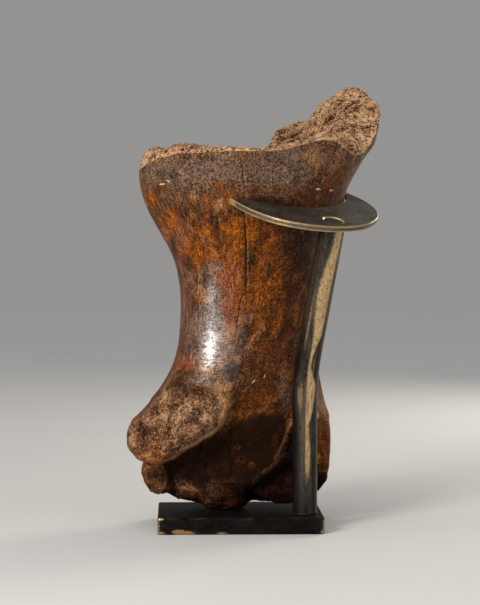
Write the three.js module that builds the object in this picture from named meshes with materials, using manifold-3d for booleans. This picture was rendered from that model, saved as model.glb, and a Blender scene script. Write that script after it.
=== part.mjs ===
// A fossil mammoth tibia on its display stand: a rectangular base plate, a bent round rod standing in it,
// and a crescent plate on the end of the rod, in whose hollow the flared upper end of the bone lies.
// Millimetres, +Z up, +X to the right and -Y towards the viewer. The origin is the middle of the plate's
// underside.

import * as THREE from "three";
import { mergeVertices } from "three/addons/utils/BufferGeometryUtils.js";
import Module from "manifold-3d";

const wasm = await Module();
wasm.setup();

// ---------------------------------------------------------------- driving dimensions

const GAP = 0.3; // clearance between pieces that fit into or lie on each other

const PLATE = { width: 100, depth: 75, thickness: 10, cornerRadius: 1.6, edgeBevel: 0.7 };

const ROD = {
  diameter: 15,
  footX: 39.2,
  footY: -20,
  kinkHeight: 93, // where the axes of the two straight stretches cross
  kinkReach: 16, // from there to where each stretch starts to bend
  leanRight: 9, // degrees, upper stretch
  leanForward: 17, // degrees, upper stretch
  endHeight: 188, // where the rod's axis meets the top of the crescent
  footTenon: 9, // diameters of the turned ends that go through the plates
  headTenon: 11,
  headRecess: 0.5, // how far the upper tenon's end lies below the crescent's top
  centreMark: 1.6, // diameter of the lathe's centre mark in that end
  sides: 20,
  steps: 18, // rings along its length
};

// The crescent is drawn in its own plane: u to the right, v to the back, from the rod's axis.
const CRESCENT = {
  thickness: 3.6,
  hollow: { u: -33, v: 60, radius: 45.6 },
  outside: { u: -20, v: 31, radius: 47.5 },
  frontTip: { u: -62, v: 17 },
  frontShoulder: { u: -37, v: -13.3 }, // where the front horn's straighter edge leaves the outer arc
  frontBend: { u: -52.5, v: -4 }, // pulls that edge outwards a little
  hollowFrom: -1.67, // radians, where the hollow's arc starts on the front horn
};

// The bone's horizontal sections, from below upwards: how far each reaches to the left, right, front and
// back, and where along the other axis each of those four outermost points lies.
//   height, left, right, front, back, leftAtY, rightAtY, frontAtX, backAtX
const SECTIONS = [
  [12, -26, 38, 6, 30, 14, 15, -8, -4],
  [16, -38, 46, 4, 38, 14, 15, -8, -4],
  [20, -47, 50.5, 2, 44, 12, 15, -8, -3],
  [26, -53.5, 53.6, 0, 49, 10, 15, -8, -2],
  [34, -56.5, 55.4, -3, 53, 8, 15, -9, -1],
  [42, -58.5, 56.6, -6, 56, 6, 15, -10, 0],
  [50, -64.8, 57.2, -10, 57, 5, 15, -10, 2],
  [58, -67.6, 57.4, -15, 56.5, 4, 15, -9, 3],
  [67, -63.2, 56.2, -20.5, 54, 4, 14, -8, 4],
  [78, -53.6, 53, -25, 50.5, 5, 13, -8, 5],
  [94, -42.6, 49.4, -26, 46.5, 8, 12, -7, 6],
  [112, -36.6, 47.2, -25.5, 43.5, 10, 11, -5, 7],
  [130, -35.1, 47.2, -25, 42.5, 10, 10, -3, 8],
  [148, -36.2, 48.9, -25.5, 43.5, 9, 9, 0, 9],
  [166, -40.4, 52.4, -27, 46, 8, 9, 3, 12],
  [184, -49.8, 57.2, -31.4, 49.5, 8, 9, 4, 16],
  [200, -57.8, 63.5, -35, 53, 8, 10, 6, 19],
  [213, -61.3, 69.2, -36, 56, 8, 12, 8, 22],
  [226, -60.8, 77.4, -36, 58.5, 8, 15, 10, 26],
  [238, -56, 84.2, -36, 59, 8, 17, 10, 30],
  [250, -50, 87.6, -35, 59, 8, 17, 12, 30],
  [257, -48, 89, -34, 59, 8, 17, 12, 30],
  [264, -46, 88.8, -33, 59, 8, 17, 14, 30],
  [270, -45, 87.6, -32, 58, 8, 17, 14, 30],
  [276, -44, 86, -30, 56, 8, 17, 14, 30],
];
// How square each quarter of a section is; 2 is a quarter of an ellipse.
const QUARTERS = { rightBack: 2.2, leftBack: 2.15, leftFront: 2.2, rightFront: 1.72 };
// The right front quarter is narrow low down, behind the rod, and fills out between these two heights.
const FULLER_ABOVE = { from: 105, to: 185, rightFront: 2.05 };

// The rim round the top, by bearing in degrees: 0 to the right, 90 to the back, 180 to the left and 270 to
// the front.
//   bearing, height, rise of the broken lip behind it
const TOP_RIM = [
  [0, 248, 1],
  [8, 257, 1],
  [14, 263.7, 1],
  [21, 268.2, 1],
  [29, 272, 1],
  [40, 274, 1],
  [49, 272.8, 1],
  [58, 269.2, 1.2],
  [63, 265.2, 1.2],
  [68, 261.8, 1.2],
  [72.5, 258, 1.2],
  [75, 254.8, 1.5],
  [79, 253, 1.5],
  [86.5, 251, 1.5],
  [91, 248.3, 1.5],
  [95, 240.5, 1.5],
  [98, 230.5, 2],
  [104, 229, 2.5],
  [130, 228, 3],
  [155, 225, 6],
  [175, 219, 12],
  [190, 218.5, 13],
  [205, 222.5, 9.6],
  [219, 226.5, 8],
  [231, 228, 6.4],
  [243, 229, 3.4],
  [262, 229.8, 3],
  [278, 229.8, 2.6],
  [290, 232.5, 2.4],
  [299, 236, 2],
  [307, 237, 1.5],
  [314, 233.5, 1],
  [323, 230, 1],
  [332, 227.5, 1],
  [342, 229.4, 1],
  [351, 233.5, 1],
];
// The rim round the underside, by bearing.
const FOOT_RIM = [
  [0, 22],
  [45, 24],
  [90, 25],
  [135, 23],
  [180, 20],
  [225, 17],
  [270, 17],
  [315, 19],
];

const TOP_HOLLOW = { x: 14, y: 13, height: 223 }; // the lowest point of the dished top
const TOP_SWELLING = { x: 66, y: 10, reach: 26, rise: 9 }; // the right-hand part of the top stands fuller
const TOP_EVENING = 110; // degrees of rim to either side that set the height of the top's middle
const TOP_ROUGHNESS = { rise: 1.2, size: 6.5 };
const LIP = { inset: 0.085, breadth: 0.065 }; // the broken lip's place, as shares of the way in from the rim
const SEAT_HEIGHT = PLATE.thickness + GAP;
const FOOT_SEAT = { x: -8, y: 14 };

// Domed lobes that stand proud of the worn underside, each drawn round its edge as seen from the front,
// anticlockwise from its right-hand end: x, y, z of the edge. Each swells `rise` towards `facing`.
const LEFT_LOBE = {
  edge: [
    [0, -22.5, 88],
    [-2.5, -17, 98],
    [-12, -14.5, 104],
    [-24, -13, 105],
    [-36, -10, 99],
    [-46.5, -6, 88],
    [-56.5, -4, 76.5],
    [-65.4, -4, 65],
    [-68, -3, 58.8],
    [-66.3, -4, 50.8],
    [-62.3, -8, 44.8],
    [-56, -14, 40.9],
    [-47.4, -21, 40.6],
    [-39.6, -25, 43.4],
    [-34.7, -26.5, 47],
    [-25.1, -28, 52.5],
    [-16.1, -29, 57.9],
    [-10.9, -29.5, 63.3],
    [-8.3, -29.5, 71],
    [-2.8, -27.5, 79],
  ],
  facing: [-0.3, -0.95, 0.05],
  rise: 11,
  depth: 26,
};
const RIGHT_LOBE = {
  edge: [
    [57.2, 10, 51.9],
    [55.2, 8, 64.4],
    [47.4, 0, 72],
    [38.6, -8, 73],
    [30.2, -15, 66.4],
    [27.3, -14.5, 56.5],
    [24.9, -14, 50.9],
    [19, -12, 38],
    [11.8, -9, 32.5],
    [5.8, -6, 24.7],
    [7.8, 0, 19],
    [19, 4, 16.5],
    [37.8, 6, 17],
    [48, 10, 18.5],
    [54.4, 12, 27],
  ],
  facing: [0.3, -0.93, -0.2],
  rise: 1.6,
  depth: 22,
};

// Rounded lumps grown onto the underside: middle, and how far each reaches along the three axes.
const LUMPS = [
  { name: "seat", middle: [-8.6, 8, 18.8], reach: [15.6, 16, 7.4] },
  { name: "lower left", middle: [-50, 8, 31.5], reach: [8.8, 17, 12.6] },
];

const LUMP_UNEVENNESS = 0.13; // as a share of a lump's size
const LUMP_SQUARENESS = 3.2; // 2 is an ellipsoid, more is nearer to a rounded block

// Swellings and hollows of the surface: where, how far each reaches along the three axes, and how much it
// rises.
const FORMS = [
  { name: "rounded left column", x: -22, y: -22, z: 132, reach: [13, 30, 44], rise: 2.6 },
  { name: "foot of the column", x: -24, y: -22, z: 100, reach: [20, 24, 16], rise: 1.6 },
  { name: "groove beside the column", x: 0, y: -26, z: 112, reach: [6, 22, 30], rise: -1.8 },
  { name: "flat shin face", x: 20, y: -26, z: 110, reach: [15, 26, 40], rise: 1 },
  { name: "hollow under the top edge", x: 34, y: -30, z: 214, reach: [26, 26, 15], rise: -3 },
  { name: "swelling over the crescent", x: -30, y: -30, z: 212, reach: [24, 26, 20], rise: 1.6 },
  { name: "hollow at the back of the knee", x: 4, y: 52, z: 196, reach: [30, 30, 38], rise: -7 },
  { name: "back left edge", x: -42, y: 36, z: 206, reach: [16, 20, 34], rise: 3 },
  { name: "groove at the back of the ankle", x: -6, y: 52, z: 48, reach: [14, 24, 30], rise: -3.6 },
  { name: "back shaft ridge", x: 16, y: 46, z: 118, reach: [12, 22, 60], rise: 2.4 },
];

const MESH = { around: 54, up: 37, topRings: 9, footRings: 5, lobeAround: 40, lobeRings: 6, lumpAround: 20 };
const RIDGE_BEARINGS = { from: 42, to: 102, step: 3.5 }; // closer together where the broken ridge steps down

// ---------------------------------------------------------------- small helpers

const radians = THREE.MathUtils.degToRad;
const smooth = THREE.MathUtils.smoothstep;

// A smooth curve through rows of numbers, by the first number of each row. With a period, the rows go round.
function curveThrough(rows, period = 0) {
  const shifted = (part, by) => part.map(([t, ...values]) => [t + by, ...values]);
  const before = shifted(rows.slice(-2), -period);
  const after = shifted(rows.slice(0, 2), period);
  const all = period ? [...before, ...rows, ...after] : rows;
  return (t) => {
    const at = period ? ((t % period) + period) % period : t;
    const above = all.findIndex((row) => row[0] > at);
    const i = above < 0 ? all.length - 2 : Math.max(above - 1, 0);
    const [a, b] = [all[i], all[i + 1]];
    const [earlier, later] = [all[Math.max(i - 1, 0)], all[Math.min(i + 2, all.length - 1)]];
    const span = b[0] - a[0];
    const s = THREE.MathUtils.clamp((at - a[0]) / span, 0, 1);
    return a.slice(1).map((value, k) => {
      const end = b[k + 1];
      const slopeA = ((end - earlier[k + 1]) / (b[0] - earlier[0])) * span;
      const slopeB = ((later[k + 1] - value) / (later[0] - a[0])) * span;
      const rise = s * s * (3 - 2 * s);
      return value + (end - value) * rise + s * (1 - s) * ((1 - s) * slopeA - s * slopeB);
    });
  };
}

// Repeatable roughness between -1 and 1 that varies over about `size` millimetres.
function roughness(x, y, z, size) {
  const hash = (i, j, k) => {
    const n = Math.sin(i * 127.1 + j * 311.7 + k * 74.7) * 43758.5453;
    return (n - Math.floor(n)) * 2 - 1;
  };
  const [px, py, pz] = [x / size, y / size, z / size];
  const [i, j, k] = [Math.floor(px), Math.floor(py), Math.floor(pz)];
  const fade = (t) => t * t * (3 - 2 * t);
  const [fx, fy, fz] = [fade(px - i), fade(py - j), fade(pz - k)];
  const mix = THREE.MathUtils.lerp;
  const row = (b, c) => mix(hash(i, j + b, k + c), hash(i + 1, j + b, k + c), fx);
  const layer = (c) => mix(row(0, c), row(1, c), fy);
  return mix(layer(0), layer(1), fz);
}

// A closed mesh as a solid for cutting and joining, and back again.
function solidOf(geometry) {
  const bare = new THREE.BufferGeometry().setAttribute("position", geometry.getAttribute("position"));
  if (geometry.index) bare.setIndex(geometry.index);
  const merged = mergeVertices(bare, 1e-4);
  const vertProperties = merged.attributes.position.array;
  const triVerts = new Uint32Array(merged.index.array);
  return new wasm.Manifold(new wasm.Mesh({ numProp: 3, vertProperties, triVerts }));
}

function geometryOf(solid) {
  const mesh = solid.getMesh();
  const geometry = new THREE.BufferGeometry();
  geometry.setAttribute("position", new THREE.BufferAttribute(mesh.vertProperties, 3));
  geometry.setIndex(new THREE.BufferAttribute(mesh.triVerts, 1));
  geometry.computeVertexNormals();
  return geometry;
}

// A cylinder standing on the XY plane.
function standingCylinder(diameter, height) {
  const cylinder = new THREE.CylinderGeometry(diameter / 2, diameter / 2, height, ROD.sides);
  return cylinder.rotateX(Math.PI / 2).translate(0, 0, height / 2);
}

// ---------------------------------------------------------------- the frame of the rod's upper stretch

const [slopeRight, slopeForward] = [Math.tan(radians(ROD.leanRight)), Math.tan(radians(ROD.leanForward))];
const upAxis = new THREE.Vector3(slopeRight, -slopeForward, 1).normalize();
const kink = new THREE.Vector3(ROD.footX, ROD.footY, ROD.kinkHeight);
const rodHead = kink.clone().addScaledVector(upAxis, (ROD.endHeight - ROD.kinkHeight) / upAxis.z);
const uAxis = new THREE.Vector3(1, 0, 0).addScaledVector(upAxis, -upAxis.x).normalize();
const vAxis = new THREE.Vector3().crossVectors(upAxis, uAxis);
const headFrame = new THREE.Matrix4().makeBasis(uAxis, vAxis, upAxis).setPosition(rodHead);

// ---------------------------------------------------------------- pieces of the stand

function basePlate() {
  const { width, depth, thickness, cornerRadius: r, edgeBevel: b } = PLATE;
  const [x, y] = [width / 2 - b, depth / 2 - b];
  const outline = new THREE.Shape();
  outline.moveTo(-x + r, -y);
  outline.lineTo(x - r, -y).absarc(x - r, -y + r, r, -Math.PI / 2, 0);
  outline.lineTo(x, y - r).absarc(x - r, y - r, r, 0, Math.PI / 2);
  outline.lineTo(-x + r, y).absarc(-x + r, y - r, r, Math.PI / 2, Math.PI);
  outline.lineTo(-x, -y + r).absarc(-x + r, -y + r, r, Math.PI, Math.PI * 1.5);
  const slab = new THREE.ExtrudeGeometry(outline, {
    depth: thickness - 2 * b,
    bevelThickness: b,
    bevelSize: b,
    bevelSegments: 1,
    curveSegments: 3,
  }).translate(0, 0, b);
  const hole = standingCylinder(ROD.footTenon + 2 * GAP, thickness + 2).translate(ROD.footX, ROD.footY, -1);
  return geometryOf(solidOf(slab).subtract(solidOf(hole)));
}

// The rod bends from upright into its leaning stretch, and is turned down at both ends.
function bentRod() {
  const foot = new THREE.Vector3(ROD.footX, ROD.footY, PLATE.thickness);
  const bendStart = kink.clone().setZ(ROD.kinkHeight - ROD.kinkReach);
  const bendEnd = kink.clone().addScaledVector(upAxis, ROD.kinkReach);
  const shoulder = rodHead.clone().addScaledVector(upAxis, -CRESCENT.thickness - GAP);
  const path = new THREE.CurvePath();
  path.add(new THREE.LineCurve3(foot, bendStart));
  path.add(new THREE.QuadraticBezierCurve3(bendStart, kink, bendEnd));
  path.add(new THREE.LineCurve3(bendEnd, shoulder));
  const section = new THREE.Shape().absarc(0, 0, ROD.diameter / 2, 0, 2 * Math.PI);
  const curveSegments = ROD.sides / 2;
  const bar = new THREE.ExtrudeGeometry(section, { steps: ROD.steps, curveSegments, extrudePath: path });
  const lowerEnd = standingCylinder(ROD.footTenon, PLATE.thickness + 1).translate(ROD.footX, ROD.footY, 0);
  const headLength = CRESCENT.thickness + GAP - ROD.headRecess + 1;
  const upperEnd = standingCylinder(ROD.headTenon, headLength).translate(0, 0, -ROD.headRecess - headLength);
  const mark = new THREE.ConeGeometry(ROD.centreMark / 2, ROD.centreMark, 10).rotateX(-Math.PI / 2);
  mark.translate(0, 0, 0.1 - ROD.headRecess - ROD.centreMark / 2);
  const ends = [lowerEnd, upperEnd.applyMatrix4(headFrame)].map(solidOf);
  const whole = ends.reduce((rod, end) => rod.add(end), solidOf(bar));
  return geometryOf(whole.subtract(solidOf(mark.applyMatrix4(headFrame))));
}

// A closed surface from rings of points, running upwards, with a point closing each end.
function ringSurface(ringPoints, around, rings, lowPoint, highPoint) {
  const all = [...ringPoints, lowPoint, highPoint];
  const [low, high] = [ringPoints.length, ringPoints.length + 1];
  const index = [];
  for (let j = 0; j < around; j++) {
    const next = (j + 1) % around;
    index.push(low, next, j);
    for (let i = 0; i + 1 < rings; i++) {
      const [a, b] = [i * around + j, i * around + next];
      index.push(a, b, b + around, a, b + around, a + around);
    }
    index.push((rings - 1) * around + j, (rings - 1) * around + next, high);
  }
  const geometry = new THREE.BufferGeometry().setFromPoints(all);
  geometry.setIndex(index);
  geometry.computeVertexNormals();
  return geometry;
}

// Where the crescent's two arcs meet, at the tip of the back horn.
function backTip() {
  const { hollow, outside } = CRESCENT;
  const apart = Math.hypot(outside.u - hollow.u, outside.v - hollow.v);
  const along = (apart ** 2 + hollow.radius ** 2 - outside.radius ** 2) / (2 * apart);
  const aside = Math.sqrt(hollow.radius ** 2 - along ** 2);
  const [du, dv] = [(outside.u - hollow.u) / apart, (outside.v - hollow.v) / apart];
  return { u: hollow.u + along * du - aside * dv, v: hollow.v + along * dv + aside * du };
}

function crescentPlate() {
  const { thickness, hollow, outside, frontTip, frontShoulder, frontBend, hollowFrom } = CRESCENT;
  const tip = backTip();
  const bearing = (centre, point) => Math.atan2(point.v - centre.v, point.u - centre.u);
  const [outsideFrom, outsideTo] = [bearing(outside, frontShoulder), bearing(outside, tip)];
  const outline = new THREE.Shape();
  outline.moveTo(frontTip.u, frontTip.v);
  outline.quadraticCurveTo(frontBend.u, frontBend.v, frontShoulder.u, frontShoulder.v);
  outline.absarc(outside.u, outside.v, outside.radius, outsideFrom, outsideTo);
  outline.absarc(hollow.u, hollow.v, hollow.radius, bearing(hollow, tip), hollowFrom, true);
  outline.lineTo(frontTip.u, frontTip.v);
  const cut = { depth: thickness, bevelEnabled: false, curveSegments: 18 };
  const blank = new THREE.ExtrudeGeometry(outline, cut).translate(0, 0, -thickness);
  const hole = standingCylinder(ROD.headTenon + 2 * GAP, thickness + 2).translate(0, 0, -thickness - 1);
  return geometryOf(solidOf(blank).subtract(solidOf(hole))).applyMatrix4(headFrame);
}

// ---------------------------------------------------------------- the bone

const sectionAt = curveThrough(SECTIONS);
const topRimAt = curveThrough(TOP_RIM, 360);
const footRimAt = curveThrough(FOOT_RIM, 360);

// The outermost point of the bone at a height, in the direction of a bearing.
function wallPoint(bearing, height) {
  const [left, right, front, back, leftAtY, rightAtY, frontAtX, backAtX] = sectionAt(height);
  const [c, s] = [Math.cos(radians(bearing)), Math.sin(radians(bearing))];
  const quarter = (c >= 0 ? "right" : "left") + (s >= 0 ? "Back" : "Front");
  const fuller = smooth(height, FULLER_ABOVE.from, FULLER_ABOVE.to);
  const [low, high] = [QUARTERS[quarter], FULLER_ABOVE[quarter] ?? QUARTERS[quarter]];
  const squareness = THREE.MathUtils.lerp(low, high, fuller);
  const [across, deep] = [Math.abs(c) ** (2 / squareness), Math.abs(s) ** (2 / squareness)];
  const [sideX, sideY] = c >= 0 ? [right, rightAtY] : [left, leftAtY];
  const [endX, endY] = s >= 0 ? [backAtX, back] : [frontAtX, front];
  return new THREE.Vector3(endX + (sideX - endX) * across, sideY + (endY - sideY) * deep, height);
}

// How much the relief raises the plain surface at a point.
function reliefAt(p) {
  let rise = 0.6 * roughness(p.x, p.y, p.z, 17) + 0.25 * roughness(p.x, p.y, p.z, 9);
  for (const form of FORMS) {
    const [rx, ry, rz] = form.reach;
    const far = ((p.x - form.x) / rx) ** 2 + ((p.y - form.y) / ry) ** 2 + ((p.z - form.z) / rz) ** 2;
    rise += form.rise * Math.exp(-far);
  }
  return rise;
}

// The rim's height, evened out over a wider arc the further in from the rim.
function rimHeightAround(bearing, inward) {
  const arc = [-1, -0.6, -0.3, 0, 0.3, 0.6, 1];
  return arc.reduce((sum, t) => sum + topRimAt(bearing + t * TOP_EVENING * inward)[0], 0) / arc.length;
}

// The bearings that the mesh has a point at.
function meshBearings() {
  const { from, to, step } = RIDGE_BEARINGS;
  const bearings = [];
  for (let at = 0; at < 359; at += at >= from && at < to ? step : 360 / MESH.around) bearings.push(at);
  return bearings;
}

// A point of the wall: share 0 is on the lower rim and 1 on the upper.
function wall(bearing, share) {
  const height = THREE.MathUtils.lerp(footRimAt(bearing)[0], topRimAt(bearing)[0], share);
  const [a, b] = [wallPoint(bearing - 2, height), wallPoint(bearing + 2, height)];
  const outward = new THREE.Vector3(b.y - a.y, a.x - b.x, 0).normalize();
  const p = wallPoint(bearing, height);
  return p.addScaledVector(outward, reliefAt(p));
}

// A point of the underside: share 0 is the seat and 1 the lower rim.
function underside(bearing, share) {
  const seat = new THREE.Vector3(FOOT_SEAT.x, FOOT_SEAT.y, SEAT_HEIGHT);
  const rim = wall(bearing, 0);
  const p = seat.clone().lerp(rim, share);
  p.z = seat.z + (rim.z - seat.z) * share ** 1.5;
  p.z += 0.8 * smooth(share, 0.2, 0.5) * (1 + roughness(p.x, p.y, 0, 8));
  return p;
}

// A point of the dished top: inward 0 is the upper rim and 1 the lowest point.
function top(bearing, inward) {
  const hollow = new THREE.Vector3(TOP_HOLLOW.x, TOP_HOLLOW.y, TOP_HOLLOW.height);
  const p = wall(bearing, 1).lerp(hollow, inward);
  p.z = hollow.z + (rimHeightAround(bearing, inward) - hollow.z) * (1 - inward) ** 1.2;
  p.z += topRimAt(bearing)[1] * Math.exp(-(((inward - LIP.inset) / LIP.breadth) ** 2));
  const far = Math.hypot(p.x - TOP_SWELLING.x, p.y - TOP_SWELLING.y) / TOP_SWELLING.reach;
  const swelling = TOP_SWELLING.rise * Math.exp(-(far ** 2));
  const rough = TOP_ROUGHNESS.rise * roughness(p.x, p.y, 40, TOP_ROUGHNESS.size);
  p.z += smooth(inward, 0, 0.2) * (swelling + rough);
  return p;
}

// The long body of the bone, from its seat up round the walls and into the dished top.
function shaft() {
  const { up, topRings, footRings } = MESH;
  const bearings = meshBearings();
  const points = [];
  for (let i = 1; i < footRings; i++) points.push(...bearings.map((at) => underside(at, i / footRings)));
  for (let i = 0; i <= up; i++) points.push(...bearings.map((at) => wall(at, i / up)));
  for (let i = 1; i < topRings; i++) points.push(...bearings.map((at) => top(at, (i / topRings) ** 1.5)));
  const rings = footRings - 1 + up + 1 + topRings - 1;
  return ringSurface(points, bearings.length, rings, underside(0, 0), top(0, 1));
}

// A lobe: domed in front of its edge, and running back from its edge into the body of the bone.
function domedLobe({ edge, facing, rise, depth }) {
  const outline = new THREE.CatmullRomCurve3(edge.map((p) => new THREE.Vector3(...p)), true, "centripetal");
  const rim = outline.getSpacedPoints(MESH.lobeAround).slice(1);
  const middle = rim.reduce((sum, p) => sum.add(p), new THREE.Vector3()).divideScalar(rim.length);
  const out = new THREE.Vector3(...facing).normalize();
  const back = middle.clone().setY(middle.y + depth);
  const points = [];
  for (const share of [0.45, 0.8]) {
    points.push(...rim.map((p) => back.clone().lerp(p.clone().setY(p.y + 0.75 * depth), share)));
  }
  for (let i = 0; i < MESH.lobeRings; i++) {
    const inward = (i / MESH.lobeRings) ** 1.3;
    for (const p of rim) {
      const q = p.clone().lerp(middle, inward);
      const rough = 0.7 * smooth(inward, 0, 0.1) * roughness(q.x, q.y, q.z, 7);
      points.push(q.addScaledVector(out, rise * Math.sqrt(1 - (1 - inward) ** 2) + rough));
    }
  }
  return ringSurface(points, rim.length, MESH.lobeRings + 2, back, middle.addScaledVector(out, rise));
}

// A rounded lump, a little uneven.
function lump({ middle, reach }) {
  const ball = new THREE.SphereGeometry(1, MESH.lumpAround, MESH.lumpAround / 2);
  const at = ball.getAttribute("position");
  for (let i = 0; i < at.count; i++) {
    const p = new THREE.Vector3().fromBufferAttribute(at, i);
    const far = p.toArray().reduce((sum, t) => sum + Math.abs(t) ** LUMP_SQUARENESS, 0);
    p.multiplyScalar(far ** (-1 / LUMP_SQUARENESS)).multiply(new THREE.Vector3(...reach));
    p.multiplyScalar(1 + LUMP_UNEVENNESS * roughness(p.x + 50, p.y, p.z, 7));
    p.add(new THREE.Vector3(...middle));
    at.setXYZ(i, p.x, p.y, Math.max(p.z, SEAT_HEIGHT));
  }
  return ball;
}

function tibia() {
  const grown = [domedLobe(LEFT_LOBE), domedLobe(RIGHT_LOBE), ...LUMPS.map(lump)];
  return geometryOf(grown.reduce((whole, piece) => whole.add(solidOf(piece)), solidOf(shaft())));
}

// ---------------------------------------------------------------- assembly

function named(name, geometry, color, roughness, metalness) {
  const mesh = new THREE.Mesh(geometry, new THREE.MeshStandardMaterial({ color, roughness, metalness }));
  mesh.name = name;
  return mesh;
}

const stand = new THREE.Group();
stand.add(named("base_plate", basePlate(), 0x15120f, 0.45, 0.6));
stand.add(named("bent_rod", bentRod(), 0x6f5f3c, 0.35, 0.9));
stand.add(named("crescent_plate", crescentPlate(), 0x47413a, 0.4, 0.9));

const object = new THREE.Group();
object.add(stand);
object.add(named("tibia", tibia(), 0x6b3a1c, 0.45, 0));

export default object;
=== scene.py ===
"""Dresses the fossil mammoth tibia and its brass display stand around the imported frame.

The frame is in metres, +Z up, +X to the right and -Y towards the viewer. Sizes below are written in
millimetres and turned into metres where they meet Blender.
"""

import functools
import itertools
import math

import bmesh
import bpy
import numpy as np
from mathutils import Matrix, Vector


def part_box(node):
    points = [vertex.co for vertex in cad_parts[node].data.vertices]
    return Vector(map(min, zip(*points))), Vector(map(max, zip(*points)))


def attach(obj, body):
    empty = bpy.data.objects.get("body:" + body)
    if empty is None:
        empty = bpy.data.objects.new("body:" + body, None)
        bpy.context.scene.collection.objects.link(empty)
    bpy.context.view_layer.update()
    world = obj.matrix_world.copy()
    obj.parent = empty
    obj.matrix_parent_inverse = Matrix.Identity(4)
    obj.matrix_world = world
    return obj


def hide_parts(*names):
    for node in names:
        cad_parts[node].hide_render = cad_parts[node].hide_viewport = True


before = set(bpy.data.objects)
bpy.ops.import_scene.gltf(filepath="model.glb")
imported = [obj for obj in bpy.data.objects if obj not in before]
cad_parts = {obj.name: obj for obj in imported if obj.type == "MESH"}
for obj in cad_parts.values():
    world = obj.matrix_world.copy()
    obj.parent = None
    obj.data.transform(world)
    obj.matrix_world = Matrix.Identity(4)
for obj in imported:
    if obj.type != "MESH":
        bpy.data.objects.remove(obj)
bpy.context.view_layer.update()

bl_info = {
    "name": "Fossil tibia on a brass stand",
    "version": (1, 0, 0),
    "blender": (4, 5, 0),
    "location": "3D View > Sidebar > Fossil tibia",
    "description": "Builds a fossil mammoth tibia, its bent-rod display stand and a small studio",
    "category": "Object",
}

MM = 0.001
BODY = "root"

# ---------------- the bone

BONE_NODE = "tibia"
SEAT_HEIGHT = 10.3  # no part of the bone reaches lower
FIRST_ROUNDING = 5  # passes that even out the solid's facets everywhere
SHRUNK = 0.45  # how far the evening draws the bone in
BROKEN_KEEPS = 0.93  # the share of its shape that broken bone keeps in the passes after them

# Heights between which the fibres follow the bone's flare, and the half breadth that they're straightened to.
FLOW = {"from": 30.0, "to": 222.0, "step": 6.0, "half": 45.0}

# The crack down the front: across and height of its line, from above downwards.
CRACK = [
    (-1.9, 228.7), (0.9, 217.6), (1.7, 206.5), (1.7, 195.4), (3.1, 173.2), (3.2, 156.6), (3.2, 146.6),
    (0.4, 141.0), (-1.9, 128.8), (-2.9, 121.6),
]
CRACK_ACROSS = (-10.0, 10.0)  # the range across that the shader's curve of it covers
CRACK_SHAPE = {"deep": 0.25, "half_breadth": 0.6, "step": 0.08}
SWELLING = [(0.25, 17, 31), (0.12, 6, 33), (0.07, 2.6, 35)]  # of polished bone: height, spacing, seed

# Broken faces at the lower end, round their edges as seen from the front: across and height.
LEFT_BREAK = [
    (-67.0, 62.1), (-59.0, 69.8), (-52.0, 77.0), (-44.0, 84.0), (-33.0, 88.5), (-21.0, 90.5), (-13.5, 88.5),
    (-8.5, 83.5), (-7.3, 77.5), (-10.3, 70.0), (-12.4, 63.5), (-17.0, 59.4), (-25.6, 54.0), (-34.7, 48.4),
    (-39.6, 44.8), (-47.4, 41.6), (-56.0, 41.4), (-62.3, 44.8), (-66.3, 50.8), (-69.0, 58.8),
]
RIGHT_BREAK = [
    (31.2, 66.0), (37.0, 70.0), (44.0, 60.0), (48.0, 40.0), (58.0, 26.0), (52.0, 14.0), (30.0, 14.0),
    (8.0, 16.0), (5.6, 24.5), (11.7, 32.8), (19.0, 38.3), (25.1, 50.5),
]
BROKEN_LUMPS = [  # middle, and how far it reaches along the three axes
    ((-8.6, 8, 18.8), (16.8, 18, 8.8)),
    ((-54, 8, 32.0), (8.5, 20, 13.5)),
]
LEFT_RIM = LEFT_BREAK[8:18]  # where the left break ends in a smooth rim of solid bone
RIM_BREADTH = 2.3
# Small bumps and dents in the outline: across, back, height, reach, rise.
DENTS = [
    (-53, -4, 226, 8, 1.6), (-46, 0, 230, 7, 1.4), (-29, -14, 231, 8, 2.0), (-37, -8, 229, 5, -2.2),
    (-13, -24, 229, 7, 0.8), (-5, -24, 229, 7, 1.2), (3, -30, 228, 6, 0.3), (17, 46, 239, 9, -7.0),
    (24, 54, 244, 6, 1.6), (22, 46, 242, 5, -2.0), (33, 56, 250, 7, -0.6), (45, 54, 255, 5, -2.6),
    (54, 54, 261, 5, 1.6), (60, 50, 268, 6, -1.4), (84, 28, 268, 8, -3.4), (89, 20, 257, 8, 1.6),
    (86, 16, 247, 6, 0.6), (82, 14, 238, 9, 1.4), (62, 8, 200, 6, 1.5), (58, 4, 68, 5, 5.0),
    (57, 10, 34, 7, 0.5), (-66, -4, 66, 7, 0.8), (-64, -4, 51, 7, 3.0), (-60, -6, 44, 6, 2.0),
    (-60, -4, 75, 7, -2.6), (-56, 0, 22, 8, -3.6), (-44, 4, 21, 7, -1.6), (28, 0, 15, 12, 4.0),
    (8, -12, 20, 7.5, -4.5), (8, 6, 18, 7.5, -4.5), (8, 22, 16, 7.5, -4.5),
]

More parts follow.
